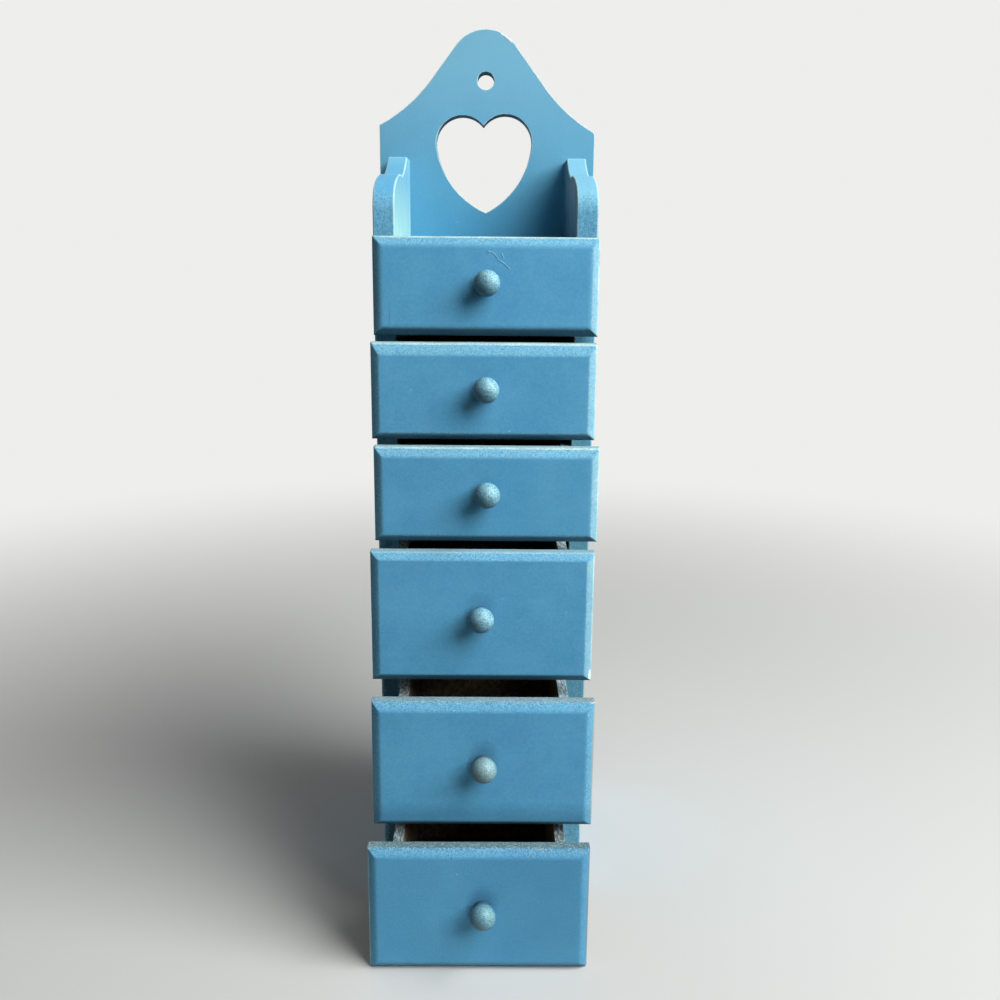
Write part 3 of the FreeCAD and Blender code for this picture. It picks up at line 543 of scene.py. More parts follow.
# The front edge of the right board is worn dull by hands, and that of the left one is painted dark as
# painted shade
handled_edge = Flaw(right_inner + SIDE_THICKNESS / 2, 180.0, 5.2, 170.0, "#3f6f6e", soft=0.5, share=0.35)
shaded_left_edge = Flaw(left_inner - SIDE_THICKNESS / 2, 105.0, 4.3, 100.0, "#0c222c", soft=0.4, share=0.7)
side_paints = {
    -1: chalk_paint("chalk paint, bleached beside the tray", (1, 1, 0.03), (1, 1, 0.6), seed=0.19,
                    fade=(388, 412), inner=(left_inner, "#afd5bd", 0.72, 0.2), flaws=[shaded_left_edge]),
    # The right board's inner face beside the tray is tinted dark as painted shade
    1: chalk_paint("chalk paint, bleached at the shoulder, painted shade inside", (1, 1, 0.03), (1, 1, 0.6), seed=0.29, deep=0.15,
                   fade=(371, 379), inner=(right_inner, "#0f3446", 0.85, 0.8), flaws=[handled_edge]),
}
tray_floor_low, tray_floor_high = box_in_mm("tray_floor")
bottom_high = box_in_mm("bottom_board")[1]
side_pin_heights = (bottom_high.z / 2, (tray_floor_low.z + tray_floor_high.z) / 2)

for node, outer_sign in (("left_side", -1), ("right_side", 1)):
    low, high = box_in_mm(node)
    outer = low.x if outer_sign < 0 else high.x
    depth = high.y - low.y

    def put(across, up, inward):
        return Vector((outer - outer_sign * inward, low.y + across, up)) * MM

    pin_depths = (CASE_PIN_INSET, depth - CASE_PIN_INSET)
    dimples = [(across, up) for across in pin_depths for up in side_pin_heights]
    outline = sanded(side_outline(depth, high.z))
    mesh = saw_board([outline], SIDE_THICKNESS, SIDE_ARRIS, put, lambda spot: spot.yz, dimples,
                     rough=sanded_top, rubbed=0.78)
    side = make_piece(f"{node}_board", mesh, side_paints[outer_sign], node)
    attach(side, "carcase")
    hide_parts(node)

# The bottom board, the tray floor and the dividers
# Thin softwood shelves. The bottom and the tray floor are pinned between the sides; the dividers, which
# the drawers slide on, are let into the sides and stand back from the front.

SHELF_ARRIS = 0.4


def plank(node, thin, ease, dimples=(), waver=0.05, shorten=0.0):
    """A plain board in place of a node: thin is the axis of its thickness and the face it starts from.
    Shorten keeps its rear end clear of what it runs flush with."""
    low, high = box_in_mm(node)
    high.y -= shorten
    axis, from_high = "xyz".index(thin[0]), thin[1] == "+"
    across_axis, up_axis = [(1, 2), (0, 2), (0, 1)][axis]

    def put(across, up, inward):
        spot = [0.0, 0.0, 0.0]
        spot[across_axis] = across
        spot[up_axis] = up
        spot[axis] = high[axis] - inward if from_high else low[axis] + inward
        return Vector(spot) * MM

    left, right, foot, head = low[across_axis], high[across_axis], low[up_axis], high[up_axis]
    corners = ((left, foot), (right, foot), (right, head), (left, head))
    outline = sanded([Vector(corner) for corner in corners])

    def flat(spot):
        return Vector((spot[across_axis], spot[up_axis]))

    return saw_board([outline], high[axis] - low[axis], ease, put, flat, dimples, waver)


for node in ["bottom_board", "tray_floor"] + [f"divider_{n}" for n in range(1, 6)]:
    shelf = make_piece(f"{node}_shelf", plank(node, "z+", SHELF_ARRIS), case_paint, node)
    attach(shelf, "carcase")
    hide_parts(node)

# The back board
# One wide board, 12 mm thick, sawn to an ogee crown with a hanging hole and a fretted heart. Its paint
# is paler towards the top, partly as painted light from above, and the saw left the inner edges of the
# heart rough.

BACK_ARRIS = 0.3
CROWN_RADIUS = 21.0
CROWN_SHIFT = -1.0
CROWN_SLOPE = math.radians(52.5)
FLANK_RADIUS = 90.0
LEFT_SHOULDER = 421.5
RIGHT_SHOULDER = 418.1
SHOULDER_KNOCK = 1.5
HANGING_HOLE_HEIGHT = 445.6
HANGING_HOLE_RADIUS = 4.7
HEART_TIP = Vector((-0.6, 373.6))
HEART_LENGTH = 47.7
HEART_LEAN = math.radians(1.9)
LOBE_OFFSET = 12.2
LOBE_RADIUS = 15.2
HEART_FLANK_RADIUS = 47.2
BACK_PIN_INSET = 30.0
BACK_PINS_PER_SIDE = 5


def bend(start, corner, end, share):
    """A point on the soft turn from start to end past a corner."""
    return tuple((1 - share) ** 2 * a + 2 * share * (1 - share) * b + share ** 2 * c
                 for a, b, c in zip(start, corner, end))


def crown_flank(centre, sign, shoulder):
    """One flank of the crown, from its shoulder up: the hollow, then the straight run to the top arc."""
    outward = Vector((sign * math.sin(CROWN_SLOPE), math.cos(CROWN_SLOPE)))
    downhill = Vector((sign * math.cos(CROWN_SLOPE), -math.sin(CROWN_SLOPE)))
    leave = centre + outward * CROWN_RADIUS
    offset = leave + outward * FLANK_RADIUS - shoulder
    half_b = offset.dot(downhill)
    run = -half_b - math.sqrt(half_b ** 2 - offset.length_squared + FLANK_RADIUS ** 2)
    arrive = leave + downhill * run
    middle = arrive + outward * FLANK_RADIUS
    return arc(middle, FLANK_RADIUS, way_to(middle, shoulder), way_to(middle, arrive)) + [leave]


def back_outline(half, apex):
    """The back board from its lower left corner, anticlockwise round the crown."""
    centre = Vector((CROWN_SHIFT, apex - CROWN_RADIUS))
    right = crown_flank(centre, 1, Vector((half, RIGHT_SHOULDER)))
    # The right shoulder's corner has been knocked round
    right[:2] = [Vector(bend(right[0] - Vector((0, SHOULDER_KNOCK)), right[0], right[1], share))
                 for share in (0, 0.25, 0.5, 0.75, 1)]
    left = crown_flank(centre, -1, Vector((-half, LEFT_SHOULDER)))
    top = arc(centre, CROWN_RADIUS, way_to(centre, right[-1]), way_to(centre, left[-1]))
    return [Vector((-half, 0)), Vector((half, 0))] + right + top[1:-1] + left[::-1]


def heart_outline():
    """The heart clockwise, so that the wood lies on its left: a flank and a lobe on each side."""
    lobe_height = HEART_LENGTH - math.sqrt(LOBE_RADIUS ** 2 - LOBE_OFFSET ** 2)
    reach = math.hypot(LOBE_OFFSET, lobe_height)
    short = HEART_FLANK_RADIUS - LOBE_RADIUS
    turn = math.acos((reach ** 2 + HEART_FLANK_RADIUS ** 2 - short ** 2) / (2 * reach * HEART_FLANK_RADIUS))
    flank_way = math.atan2(lobe_height, LOBE_OFFSET) + turn
    flank = Vector((math.cos(flank_way), math.sin(flank_way))) * HEART_FLANK_RADIUS
    lobe = Vector((LOBE_OFFSET, lobe_height))
    meet_way = way_to(flank, lobe)
    cleft = Vector((0, HEART_LENGTH))
    right = arc(flank, HEART_FLANK_RADIUS, way_to(flank, (0, 0)), meet_way, step=1.2)
    right += arc(lobe, LOBE_RADIUS, meet_way, way_to(lobe, cleft), step=2.0)[1:]
    left = [Vector((-spot.x, spot.y)) for spot in right[-2:0:-1]]
    lean = Matrix.Rotation(HEART_LEAN, 2)
    return [HEART_TIP + lean @ spot for spot in (right + left)[::-1]]


back_low, back_high = box_in_mm("back_board")
side_top = box_in_mm("left_side")[1].z
case_half = box_in_mm("right_side")[1].x
back_pin_step = (side_top - 2 * BACK_PIN_INSET) / (BACK_PINS_PER_SIDE - 1)
back_pin_line = case_half - SIDE_THICKNESS / 2
back_pins = [(sign * back_pin_line, BACK_PIN_INSET + k * back_pin_step)
             for sign in (-1, 1) for k in range(BACK_PINS_PER_SIDE)]


def put_back(across, up, inward):
    return Vector((across, back_high.y - inward, up)) * MM


# The coat is rubbed through in a row of small spots beside the arris, right of the top, and two more
# spots under them have browned. Behind the tray it is a little greener.
crown_wear = []
worn_row = [(degrees, 0.6, 0.45, "#eef2ee") for degrees in range(25, 46, 2)]
browned = [(32, 1.5, 0.5, "#a09283"), (41, 1.6, 0.6, "#a09283")]
for degrees, inset, spot_size, spot_colour in worn_row + browned:
    turn, reach = math.radians(degrees), CROWN_RADIUS - inset
    across = CROWN_SHIFT + reach * math.sin(turn)
    up = back_high.z - CROWN_RADIUS + reach * math.cos(turn)
    crown_wear.append(Flaw(across, up, spot_size, spot_size, spot_colour))
behind_tray = Flaw(0.0, 362.0, 80.0, 34.0, "#468b6f", soft=1.2, share=0.15)
# The paler coat towards the crown is partly painted light from above
back_paint = chalk_paint("chalk paint, paler at the crown, partly painted light", (1, 1, 0.03), (1, 1, 1), seed=0.37,
                         deep=0.35, fade=(372, 452), flaws=crown_wear + [behind_tray])
hole = arc((CROWN_SHIFT, HANGING_HOLE_HEIGHT), HANGING_HOLE_RADIUS, 2 * math.pi, 0, step=0.9)[:-1]
back_outlines = [sanded(back_outline(back_high.x, back_high.z)), sanded(heart_outline()), sanded(hole)]
back_mesh = saw_board(back_outlines, back_high.y - back_low.y, BACK_ARRIS, put_back,
                      lambda spot: spot.xz, back_pins)
back = make_piece("crowned_back", back_mesh, back_paint, "back_board")
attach(back, "carcase")
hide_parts("back_board")

# The panel pins
# Bright steel panel pins, 1.4 mm thick, gone dull. Each is punched just under the surface, with its
# slightly domed head left bare in the dent.

CASE_PIN_LENGTH = 22.0
BACK_PIN_LENGTH = 25.0
BOX_PIN_LENGTH = 14.0
BOX_PIN_INSET = 9.0
BOX_WALL = 5.0


def dull_steel():
    """Drawn steel wire: grey metal with a brown tarnish in small patches."""
    material, tree, place = new_finish("steel, drawn and tarnished")
    tarnish = patches(tree, place, 0.6, 0.4, 0.65, detail=2)
    colour = coats(tree, "#a9a69f", ("#6a5544", tarnish, 0.7))
    roughness = add(tree, "ShaderNodeMapRange", {"Value": tarnish, "To Min": 0.35, "To Max": 0.6})
    bump = add(tree, "ShaderNodeBump", {"Height": tarnish, "Distance": 0.02 * MM})
    shader = add(tree, "ShaderNodeBsdfPrincipled", {
        "Base Color": colour, "Roughness": roughness, "Normal": bump, "Metallic": 1.0})
    add(tree, "ShaderNodeOutputMaterial", {"Surface": shader})
    return material


def start_tree(name, source, sizes):
    """A new tree with its named inputs, the source mesh first, and those inputs by name."""
    tree = bpy.data.node_groups.new(name, "GeometryNodeTree")
    tree.interface.new_socket(source, in_out="INPUT", socket_type="NodeSocketGeometry")
    for title, size in sizes.items():
        tree.interface.new_socket(title, in_out="INPUT", socket_type="NodeSocketFloat").default_value = size
    tree.interface.new_socket("Piece", in_out="OUTPUT", socket_type="NodeSocketGeometry")
    return tree, {socket.name: socket for socket in add(tree, "NodeGroupInput").outputs}


def end_tree(tree, geometry, material):
    """Makes a tree's instances real, gives them their material and lets them out."""
    real = add(tree, "GeometryNodeRealizeInstances", {0: geometry})
    painted = add(tree, "GeometryNodeSetMaterial", {"Geometry": real, "Material": material})
    add(tree, "NodeGroupOutput", {0: painted})
    return tree


def work_out(tree, known, sums):
    """Works out sizes from the known ones, which they then join. A sum is the new size's name, what is
    done, and its terms, each a known name or a number."""
    for name, operation, *terms in sums:
        inputs = {place: known.get(term, term) for place, term in enumerate(terms)}
        known[name] = add(tree, "ShaderNodeMath", inputs, operation=operation)


def make_pin_tree(steel):
    """Stands one pin at each point, its head there and its shank along the point's way."""
    tree, known = start_tree("panel_pins", "Places", {
        "Shank Radius": PIN_RADIUS * MM, "Length": CASE_PIN_LENGTH * MM, "Dome": 0.12 * MM})
    shank = add(tree, "GeometryNodeMeshCylinder", {
        "Vertices": 14, "Fill Segments": 3, "Radius": known["Shank Radius"], "Depth": known["Length"]},
        fill_type="TRIANGLE_FAN")
    work_out(tree, known, [("half length", "MULTIPLY", "Length", 0.5)])
    lift = add(tree, "ShaderNodeCombineXYZ", {"Z": known["half length"]})
    stood = add(tree, "GeometryNodeTransform", {"Geometry": shank, "Translation": lift})
    spot = add(tree, "ShaderNodeSeparateXYZ", {0: add(tree, "GeometryNodeInputPosition")}).outputs
    across = add(tree, "ShaderNodeCombineXYZ", {"X": spot["X"], "Y": spot["Y"]})
    length = add(tree, "ShaderNodeVectorMath", {0: across}, operation="LENGTH")
    known["way out"] = length.outputs["Value"]
    work_out(tree, known, [
        ("share of radius", "DIVIDE", "way out", "Shank Radius"),
        ("square of share", "POWER", "share of radius", 2.0),
        ("fall from rim", "SUBTRACT", "square of share", 1.0),
        ("rise", "MULTIPLY", "fall from rim", "Dome"),
    ])
    at_head = add(tree, "FunctionNodeCompare", {0: spot["Z"], 1: 0.05 * MM}, operation="LESS_THAN")
    domed = add(tree, "GeometryNodeSetPosition", {
        "Geometry": stood, "Selection": at_head,
        "Offset": add(tree, "ShaderNodeCombineXYZ", {"Z": known["rise"]})})
    way = add(tree, "GeometryNodeInputNamedAttribute", {"Name": "way"}, data_type="FLOAT_VECTOR")
    turned = add(tree, "FunctionNodeAlignRotationToVector", {"Vector": way.outputs["Attribute"]}, axis="Z")
    standing = add(tree, "GeometryNodeInstanceOnPoints", {
        "Points": known["Places"], "Instance": domed, "Rotation": turned})
    return end_tree(tree, standing, steel)


def grown(name, tree, source, values):
    """Runs a tree on a source mesh with its inputs set, and keeps the result as a plain piece."""
    carrier = shown(f"{name}_source", source)
    modifier = carrier.modifiers.new(tree.name, "NODES")
    modifier.node_group = tree
    inputs = [item for item in tree.interface.items_tree if item.in_out == "INPUT"]
    sockets = {item.name: item.identifier for item in inputs}
    for socket, value in values.items():
        modifier[sockets[socket]] = value
    ready = carrier.evaluated_get(bpy.context.evaluated_depsgraph_get())
    data = bpy.data.meshes.new_from_object(ready)
    bpy.data.objects.remove(carrier)
    data.name = name
    data.shade_smooth()
    return shown(name, data)


pin_tree = make_pin_tree(dull_steel())


def drive_pins(name, heads, length):
    """Pins from their heads, each a place on the surface and the way that it is driven."""
    places = bpy.data.meshes.new(f"{name}_places")
    places.from_pydata([(Vector(spot) + Vector(way) * PIN_SUNK) * MM for spot, way in heads], [], [])
    ways = places.attributes.new("way", "FLOAT_VECTOR", "POINT")
    ways.data.foreach_set("vector", [part for _, way in heads for part in way])
    return grown(name, pin_tree, places, {"Length": (length - PIN_SUNK) * MM})


side_low, side_high = box_in_mm("left_side")
side_heads = [((sign * case_half, along, up), (-sign, 0, 0)) for sign in (-1, 1)
              for along in (side_low.y + CASE_PIN_INSET, side_high.y - CASE_PIN_INSET)
              for up in side_pin_heights]
back_heads = [((across, back_high.y, up), (0, -1, 0)) for across, up in back_pins]
for node, heads, length in (("side_brads", side_heads, CASE_PIN_LENGTH),
                            ("back_brads", back_heads, BACK_PIN_LENGTH)):
    pins = drive_pins(node.replace("brads", "pins"), heads, length)
    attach(pins, "carcase")
    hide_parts(node)

# The drawer fronts
# Small softwood boards that lie over the case, planed flat, with a bevel routed by hand round all four
# sides, so that the upper one differs from drawer to drawer. Painted, with dust on the upper edges.

DRAWERS = 6
FRONT_SLAB = 5.5
BEVEL_DEPTH = 3.4
BEVEL_WIDTH = 4.2
BEVEL_TOP = {1: 4.2, 2: 5.8, 3: 4.5, 4: 3.5, 5: 4.3, 6: 3.8}
OUTER_EASE = 0.8
INNER_EASE = {1: 1.4, 2: 0.7, 3: 0.9, 4: 0.6, 5: 0.9, 6: 1.0}
FRONT_WAVER = 0.14
FINE_WAVE = 4.0
FRONT_CORNER = 0.45

# How much sawn wood shows, and how far the rubbing goes beyond the arris, on the lower, right, upper
# and left side
SIDE_CUT = (0.5, 0.6, LONG_GRAIN_CUT, 0.5)
SIDE_RUB = (0.0, 0.6, 0.0, 0.0)
# How round each bevel is, in the same order: the height of its swell
BEVEL_SWELL = {1: (0.1, 0.5, 0.2, 0.3), 2: (0.66, 0.5, 0.2, 0.25), 3: (0.5, 0.5, 0.2, 0.3),
               4: (0.25, 0.5, 0.2, 0.3), 5: (0.66, 0.4, 0.3, 0.3), 6: (0.3, 0.4, 0.3, 0.35)}
# How worn the outer arrises are
ARRIS_WEAR = {1: (0.4, 1.0, 1.0, 0.4), 2: (0.4, 1.0, 1.0, 0.4), 3: (0.4, 1.0, 1.0, 0.4),
              4: (0.4, 1.0, 0.65, 0.4), 5: (0.4, 0.75, 0.35, 0.4), 6: (0.4, 0.6, 0.3, 0.8)}


def front_steps(inner_ease):
    """Steps from the rear face of a front to its face: share of the bevel, further inset, depth from
    the rear, wear, cut and the share of the bevel's swell."""
    rear_ease = 0.5
    rim = OUTER_EASE / math.hypot(BEVEL_WIDTH, BEVEL_DEPTH)
    inner = inner_ease / math.hypot(BEVEL_WIDTH, BEVEL_DEPTH)
    face = FRONT_SLAB + BEVEL_DEPTH
    quarters = (0, 0.25, 0.5, 0.75, 1)
    steps = [(0, 3.0, 0, 0, 0, 0), (0, 1.2, 0, 0.3, 0, 0)]
    for share in (0, 0.33, 0.67, 1):
        steps.append((0, *bend((rear_ease, 0), (0, 0), (0, rear_ease), share), 1, share, 0))
    for depth, wear in ((1.2, 0.3), (2.6, 0), (4.0, 0.1), (FRONT_SLAB - OUTER_EASE - 0.2, 0.6)):
        steps.append((0, 0, depth, wear, 1, 0))
    for share in quarters:
        bevel_share, depth = bend((0, FRONT_SLAB - OUTER_EASE), (0, FRONT_SLAB),
                                  (rim, FRONT_SLAB + rim * BEVEL_DEPTH), share)
        steps.append((bevel_share, 0, depth, 1, 1, 0))

    def swell(share):
        return 4 * (share - rim) * (1 - share) / (1 - rim) ** 2

    middle = (rim + 1 - inner) / 2
    for share, wear in ((rim + 0.04, 0.6), (rim + 0.12, 0), (middle - 0.1, 0), (middle + 0.05, 0),
                        (middle + 0.2, 0), (1 - inner - 0.06, 0)):
        steps.append((share, 0, FRONT_SLAB + share * BEVEL_DEPTH, wear, 1, swell(share)))
    for share in quarters:
        bevel_share, further, depth = bend((1 - inner, 0, face - inner * BEVEL_DEPTH), (1, 0, face),
                                           (1, inner_ease, face), share)
        steps.append((bevel_share, further, depth, 0, 1 - share, swell(bevel_share)))
    return steps + [(1, inner_ease + 0.3, face, 0, 0, 0), (1, inner_ease + 2.0, face, 0, 0, 0)]


def side_shares(length):
    """Places along one side of a front, as shares of it: close to the corners, then every 3 mm."""
    first, second, apart = 1.0, 2.2, 3.0
    near = [first / length, second / length]
    parts = round((length - 2 * second) / apart)
    middle = [near[-1] + (1 - 2 * near[-1]) * k / parts for k in range(1, parts)]
    return near + middle + [1 - share for share in reversed(near)]


def front_ring(low, high, insets, seed, size):
    """A rectangle with small round corners, anticlockwise from its lower left corner. Each point comes
    with the side before it and its own, in the order lower, right, upper, left, which differ at a
    corner. Insets are those of the left, right, lower and upper sides; the hand-guided cut wavers."""
    left, right = low[0] + insets[0], high[0] - insets[1]
    foot, head = low[1] + insets[2], high[1] - insets[3]
    corners = [Vector((left, foot)), Vector((right, foot)), Vector((right, head)), Vector((left, head))]
    spots = []
    for k, corner in enumerate(corners):
        ahead = corners[(k + 1) % 4] - corner
        way = ahead.normalized()
        behind = (corner - corners[k - 1]).normalized()
        centre = corner + (way - behind) * FRONT_CORNER
        for step in range(4):
            turn = Matrix.Rotation(math.radians(30 * step), 2)
            spots.append((centre + turn @ (-left_of(behind)) * FRONT_CORNER, (k - 1) % 4, k))
        for share in side_shares(size[k % 2]):
            along = FRONT_CORNER + (ahead.length - 2 * FRONT_CORNER) * share
            spot = corner + way * along
            drift = noise.noise(Vector((spot.x, spot.y, seed)) / SAW_WAVE)
            fine = noise.noise(Vector((spot.x, spot.y, seed)) / FINE_WAVE)
            spots.append((spot + left_of(way) * FRONT_WAVER * (0.5 + 0.4 * drift + 0.12 * fine), k, k))
    return spots


def make_front(number, material):
    """One front, ring by ring from its rear to its face, with its own bevels, swell and wear."""
    node = f"drawer_{number}_front"
    low, high = box_in_mm(node)
    size = (high.x - low.x, high.z - low.z)
    mesh = new_mesh()
    rings = []
    swells, arris_wear = BEVEL_SWELL[number], ARRIS_WEAR[number]
    for bevel, further, depth, wear, cut, swell in front_steps(INNER_EASE[number]):
        widths = [BEVEL_WIDTH, BEVEL_WIDTH, BEVEL_WIDTH, BEVEL_TOP[number]]
        insets = [bevel * width + further for width in widths]
        flat = front_ring((low.x, low.z), (high.x, high.z), insets, seed=9.0 * number, size=size)
        spots = [Vector((spot.x, high.y - depth - swell * (swells[before] + swells[side]) / 2, spot.y)) * MM
                 for spot, before, side in flat]
        wears = [max(wear, cut * SIDE_RUB[side]) * arris_wear[side] for *_, side in flat]
        rings.append(add_ring(mesh, spots, wears, [cut * SIDE_CUT[side] for *_, side in flat]))
    for first, second in zip(rings, rings[1:]):
        bridge(mesh, first, second)
    for ring in (rings[0], rings[-1]):
        close_face(mesh, [ring], lambda spot: spot.xz)
    return make_piece(f"drawer_{number}_bevelled_front", mesh, material, node)


# A scratch on front 1, a split corner on front 4, right arrises of fronts 5 and 6 rubbed grey with bare
# spots at the corners, painted shade along the foot of front 5, and a speck and a darker right half on
# front 6
front_flaws = {
    1: [Flaw(-46.2, 321.8, 0.16, 6.5, "#2c6385")],
    2: [],
    3: [],
    4: [Flaw(53.3, 146.0, 0.8, 3.2, "#dbe8e8")],
    5: [Flaw(55.2, 104.0, 1.1, 45.0, "#919a92"), Flaw(53.6, 137.6, 1.6, 0.6, "#d0c7ae"),
        Flaw(0.0, 74.0, 75.0, 6.0, "#24506c", soft=1.2, share=0.35)],
    6: [Flaw(53.4, 34.0, 1.1, 45.0, "#708185"), Flaw(29.0, 66.9, 2.0, 0.5, "#c9bda6", share=0.5),
        Flaw(34.0, 67.0, 1.2, 0.5, "#c9bda6", share=0.5), Flaw(-55.4, 66.8, 1.5, 0.6, "#a9a08c", share=0.5),
        Flaw(-14.7, 63.2, 0.35, 0.35, "#1d3c4c"),
        Flaw(48.0, 30.0, 30.0, 60.0, "#2c5a78", soft=1.2, share=0.15)],
}
# Painted shade: the paint is darker over the knobs, more so on the lower fronts, and dark in the corners
# left of and below them
KNOB_SHADE_ABOVE = {1: 0.0, 2: 0.08, 3: 0.1, 4: 0.22, 5: 0.38, 6: 0.34}
for number, flaws in front_flaws.items():
    knob_low, knob_high = box_in_mm(f"drawer_{number}_knob")
    across, up = (knob_low.x + knob_high.x) / 2, (knob_low.z + knob_high.z) / 2
    flaws.append(Flaw(across, up + 3.2, 4.4, 5.0, "#1c4560", soft=1.2, share=KNOB_SHADE_ABOVE[number]))
    flaws.append(Flaw(across - 4.0, up - 1.5, 3.2, 4.0, "#152f40", soft=0.9, share=0.5))
# Each front has its own share of deeper paint, the least and most white on its bevels, the share and
# colour of its dust, and the share of painted shade on its underside
front_finishes = {
    1: (0.0, (0.08, 0.36), (0.7, "#8aa8aa"), 0.75),
    2: (0.05, (0.1, 0.4), (0.7, "#8aa8aa"), 0.6),
    3: (0.05, (0.1, 0.4), (0.65, "#8fa9a8"), 0.6),
    4: (0.05, (0.02, 0.32), (0.65, "#86a3a6"), 0.6),
    5: (0.15, (0.0, 0.24), (0.95, "#789095"), 0.6),
    6: (0.35, (0.0, 0.12), (0.95, "#566f73"), 0.1),
}
front_paints = {}
for number, (deep, chalk, dust, underside_shade) in front_finishes.items():
    front_paints[number] = chalk_paint(
        f"chalk paint on front {number}", (0.03, 1, 1), (1, 1, 1), seed=0.23 * number, deep=deep,
        chalk=chalk, dust=dust, crest=box_in_mm(f"drawer_{number}_front")[1].z, underside_shade=underside_shade,
        flaws=front_flaws[number])
    front = make_front(number, front_paints[number])
    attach(front, f"drawer_{number}")
    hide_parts(f"drawer_{number}_front")

# The caught bristles
# Two bristles of the paint brush dried into the coat over the top knob, half sunk and painted over.
# The longer one is frayed at its upper end.

BRISTLE_RADIUS = 0.17
BRISTLE_WEAR = 0.62
bristle_paths = [
    [(2.3, 351.3), (4.4, 350.3), (6.3, 347.3), (8.1, 346.5), (9.5, 345.2), (11.7, 343.3)],
    [(7.4, 350.7), (8.1, 350.0), (8.9, 347.9)],
    [(2.3, 351.3), (1.0, 351.7)],
    [(2.3, 351.3), (1.5, 349.4)],
    [(2.3, 351.3), (0.6, 350.7)],
]


def make_bristle_tree(paint):
    """Lays a thin round bristle along each run of edges."""
    tree, given = start_tree("caught_bristles", "Paths", {"Radius": BRISTLE_RADIUS * MM, "Bend": 0.6 * MM})
    lines = add(tree, "GeometryNodeMeshToCurve", {"Mesh": given["Paths"]})
    bent = add(tree, "GeometryNodeFilletCurve", {"Curve": lines, "Count": 3, "Radius": given["Bend"]},
               mode="POLY")
    section = add(tree, "GeometryNodeCurvePrimitiveCircle", {"Resolution": 8, "Radius": given["Radius"]})
    swept = add(tree, "GeometryNodeCurveToMesh", {
        "Curve": bent, "Profile Curve": section, "Fill Caps": True})
    worn = add(tree, "GeometryNodeStoreNamedAttribute", {
        "Geometry": swept, "Name": "wear", "Value": BRISTLE_WEAR})
    return end_tree(tree, worn, paint)


bristle_mesh = bpy.data.meshes.new("bristle_paths")
front_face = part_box("drawer_1_front")[0].y
bristle_spots = [(x * MM, front_face, z * MM) for path in bristle_paths for x, z in path]
bristle_edges = []
for path in bristle_paths:
    first = bristle_edges[-1][1] + 1 if bristle_edges else 0
    bristle_edges += [(first + k, first + k + 1) for k in range(len(path) - 1)]
bristle_mesh.from_pydata(bristle_spots, bristle_edges, [])
bristles = grown("caught_bristles", make_bristle_tree(front_paints[1]), bristle_mesh, {})
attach(bristles, "drawer_1")

# The drawer boxes
# Bare sawn softwood, 5 mm thick, gone grey with handling and dust, with a thin hardboard bottom in
# grooves. Some sides are painted darker as painted shade. The sides are let into the front and pinned to
# the box back.

BOX_ARRIS = 0.35


def bare_softwood(name, dust_colour, streak_colour):
    """Sawn pine left unpainted: growth rings and fibres run along the board, the fibres drawn coarser
    than real ones so that they show, and dust lies in streaks on its top."""
    material, tree, place = new_finish(name)
    rings = patches(tree, place, 2.2, 0.36, 0.64, detail=3, stretch=(1, 0.06, 1))
    fibres = patches(tree, place, 0.7, 0.35, 0.65, detail=2, stretch=(1, 0.08, 1), seed=0.3)
    up = add(tree, "ShaderNodeSeparateXYZ", {0: add(tree, "ShaderNodeNewGeometry").outputs["Normal"]})
    level = add(tree, "ShaderNodeMapRange", {"Value": up.outputs["Z"], "From Min": 0.2, "From Max": 0.8})
    dust = patches(tree, place, 0.7, 0.28, 0.5, detail=3, stretch=(1, 0.2, 1), seed=0.8)
    streaks = patches(tree, place, 0.9, 0.48, 0.6, detail=3, stretch=(1, 0.25, 1), seed=1.3)
    colour = coats(tree, "#837663", ("#5d4f3f", rings), ("#4a3a2a", fibres, 0.45),
                   (dust_colour, dust, level, 0.95), (streak_colour, streaks, level, 0.75))
    saw = patches(tree, place, 1.8, 0.35, 0.65, detail=2, stretch=(1, 1, 0.1), seed=0.5)
    finish_surface(tree, colour, 0.85, [(fibres, 0.6), (saw, 0.4)], depth=0.09)
    return material


def brown_hardboard():
    """Pressed wood fibre: smooth dark brown with short pale fibres."""
    material, tree, place = new_finish("hardboard, smooth")
    fibres = patches(tree, place, 1.4, 0.45, 0.7, detail=4)
    colour = coats(tree, "#5b4330", ("#8a6d50", fibres, 0.5))
    finish_surface(tree, colour, 0.6, [(fibres,)], depth=0.03)
    return material


softwood = bare_softwood("pine, sawn and bare, with pale dust", "#86a5b0", "#cbe0e4")
shaded_softwood = bare_softwood("pine, sawn and bare, darkened as painted shade", "#4a5b5f", "#98abae")
hardboard = brown_hardboard()
for number in range(1, DRAWERS + 1):
    prefix = f"drawer_{number}"
    low, high = box_in_mm(f"{prefix}_left")
    pin_depth = high.y - BOX_WALL / 2
    pin_heights = (low.z + BOX_PIN_INSET, high.z - BOX_PIN_INSET)
    dimples = [(pin_depth, height) for height in pin_heights]
    # Painted shade: both sides of the lowest box are painted darker, and only the left ones of the others
    right_wood = shaded_softwood if number == DRAWERS else softwood
    for part, thin, holes, shorten, material in (
        ("left", "x-", dimples, 0.0, shaded_softwood),
        ("right", "x+", dimples, 0.0, right_wood),
        ("back", "y+", (), 0.15, softwood),
        ("bottom", "z+", (), 0.3, hardboard),
    ):
        node = f"{prefix}_{part}"
        board = plank(node, thin, BOX_ARRIS, holes, shorten=shorten)
        panel = make_piece(f"{node}_panel", board, material, node)
        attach(panel, prefix)
        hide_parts(node)
    outer = box_in_mm(f"{prefix}_right")[1].x
    heads = [((edge, pin_depth, height), (way, 0, 0)) for edge, way in ((low.x, 1), (outer, -1))
             for height in pin_heights]
    pins = drive_pins(f"{prefix}_pins", heads, BOX_PIN_LENGTH)
    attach(pins, prefix)
    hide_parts(f"{prefix}_brads")

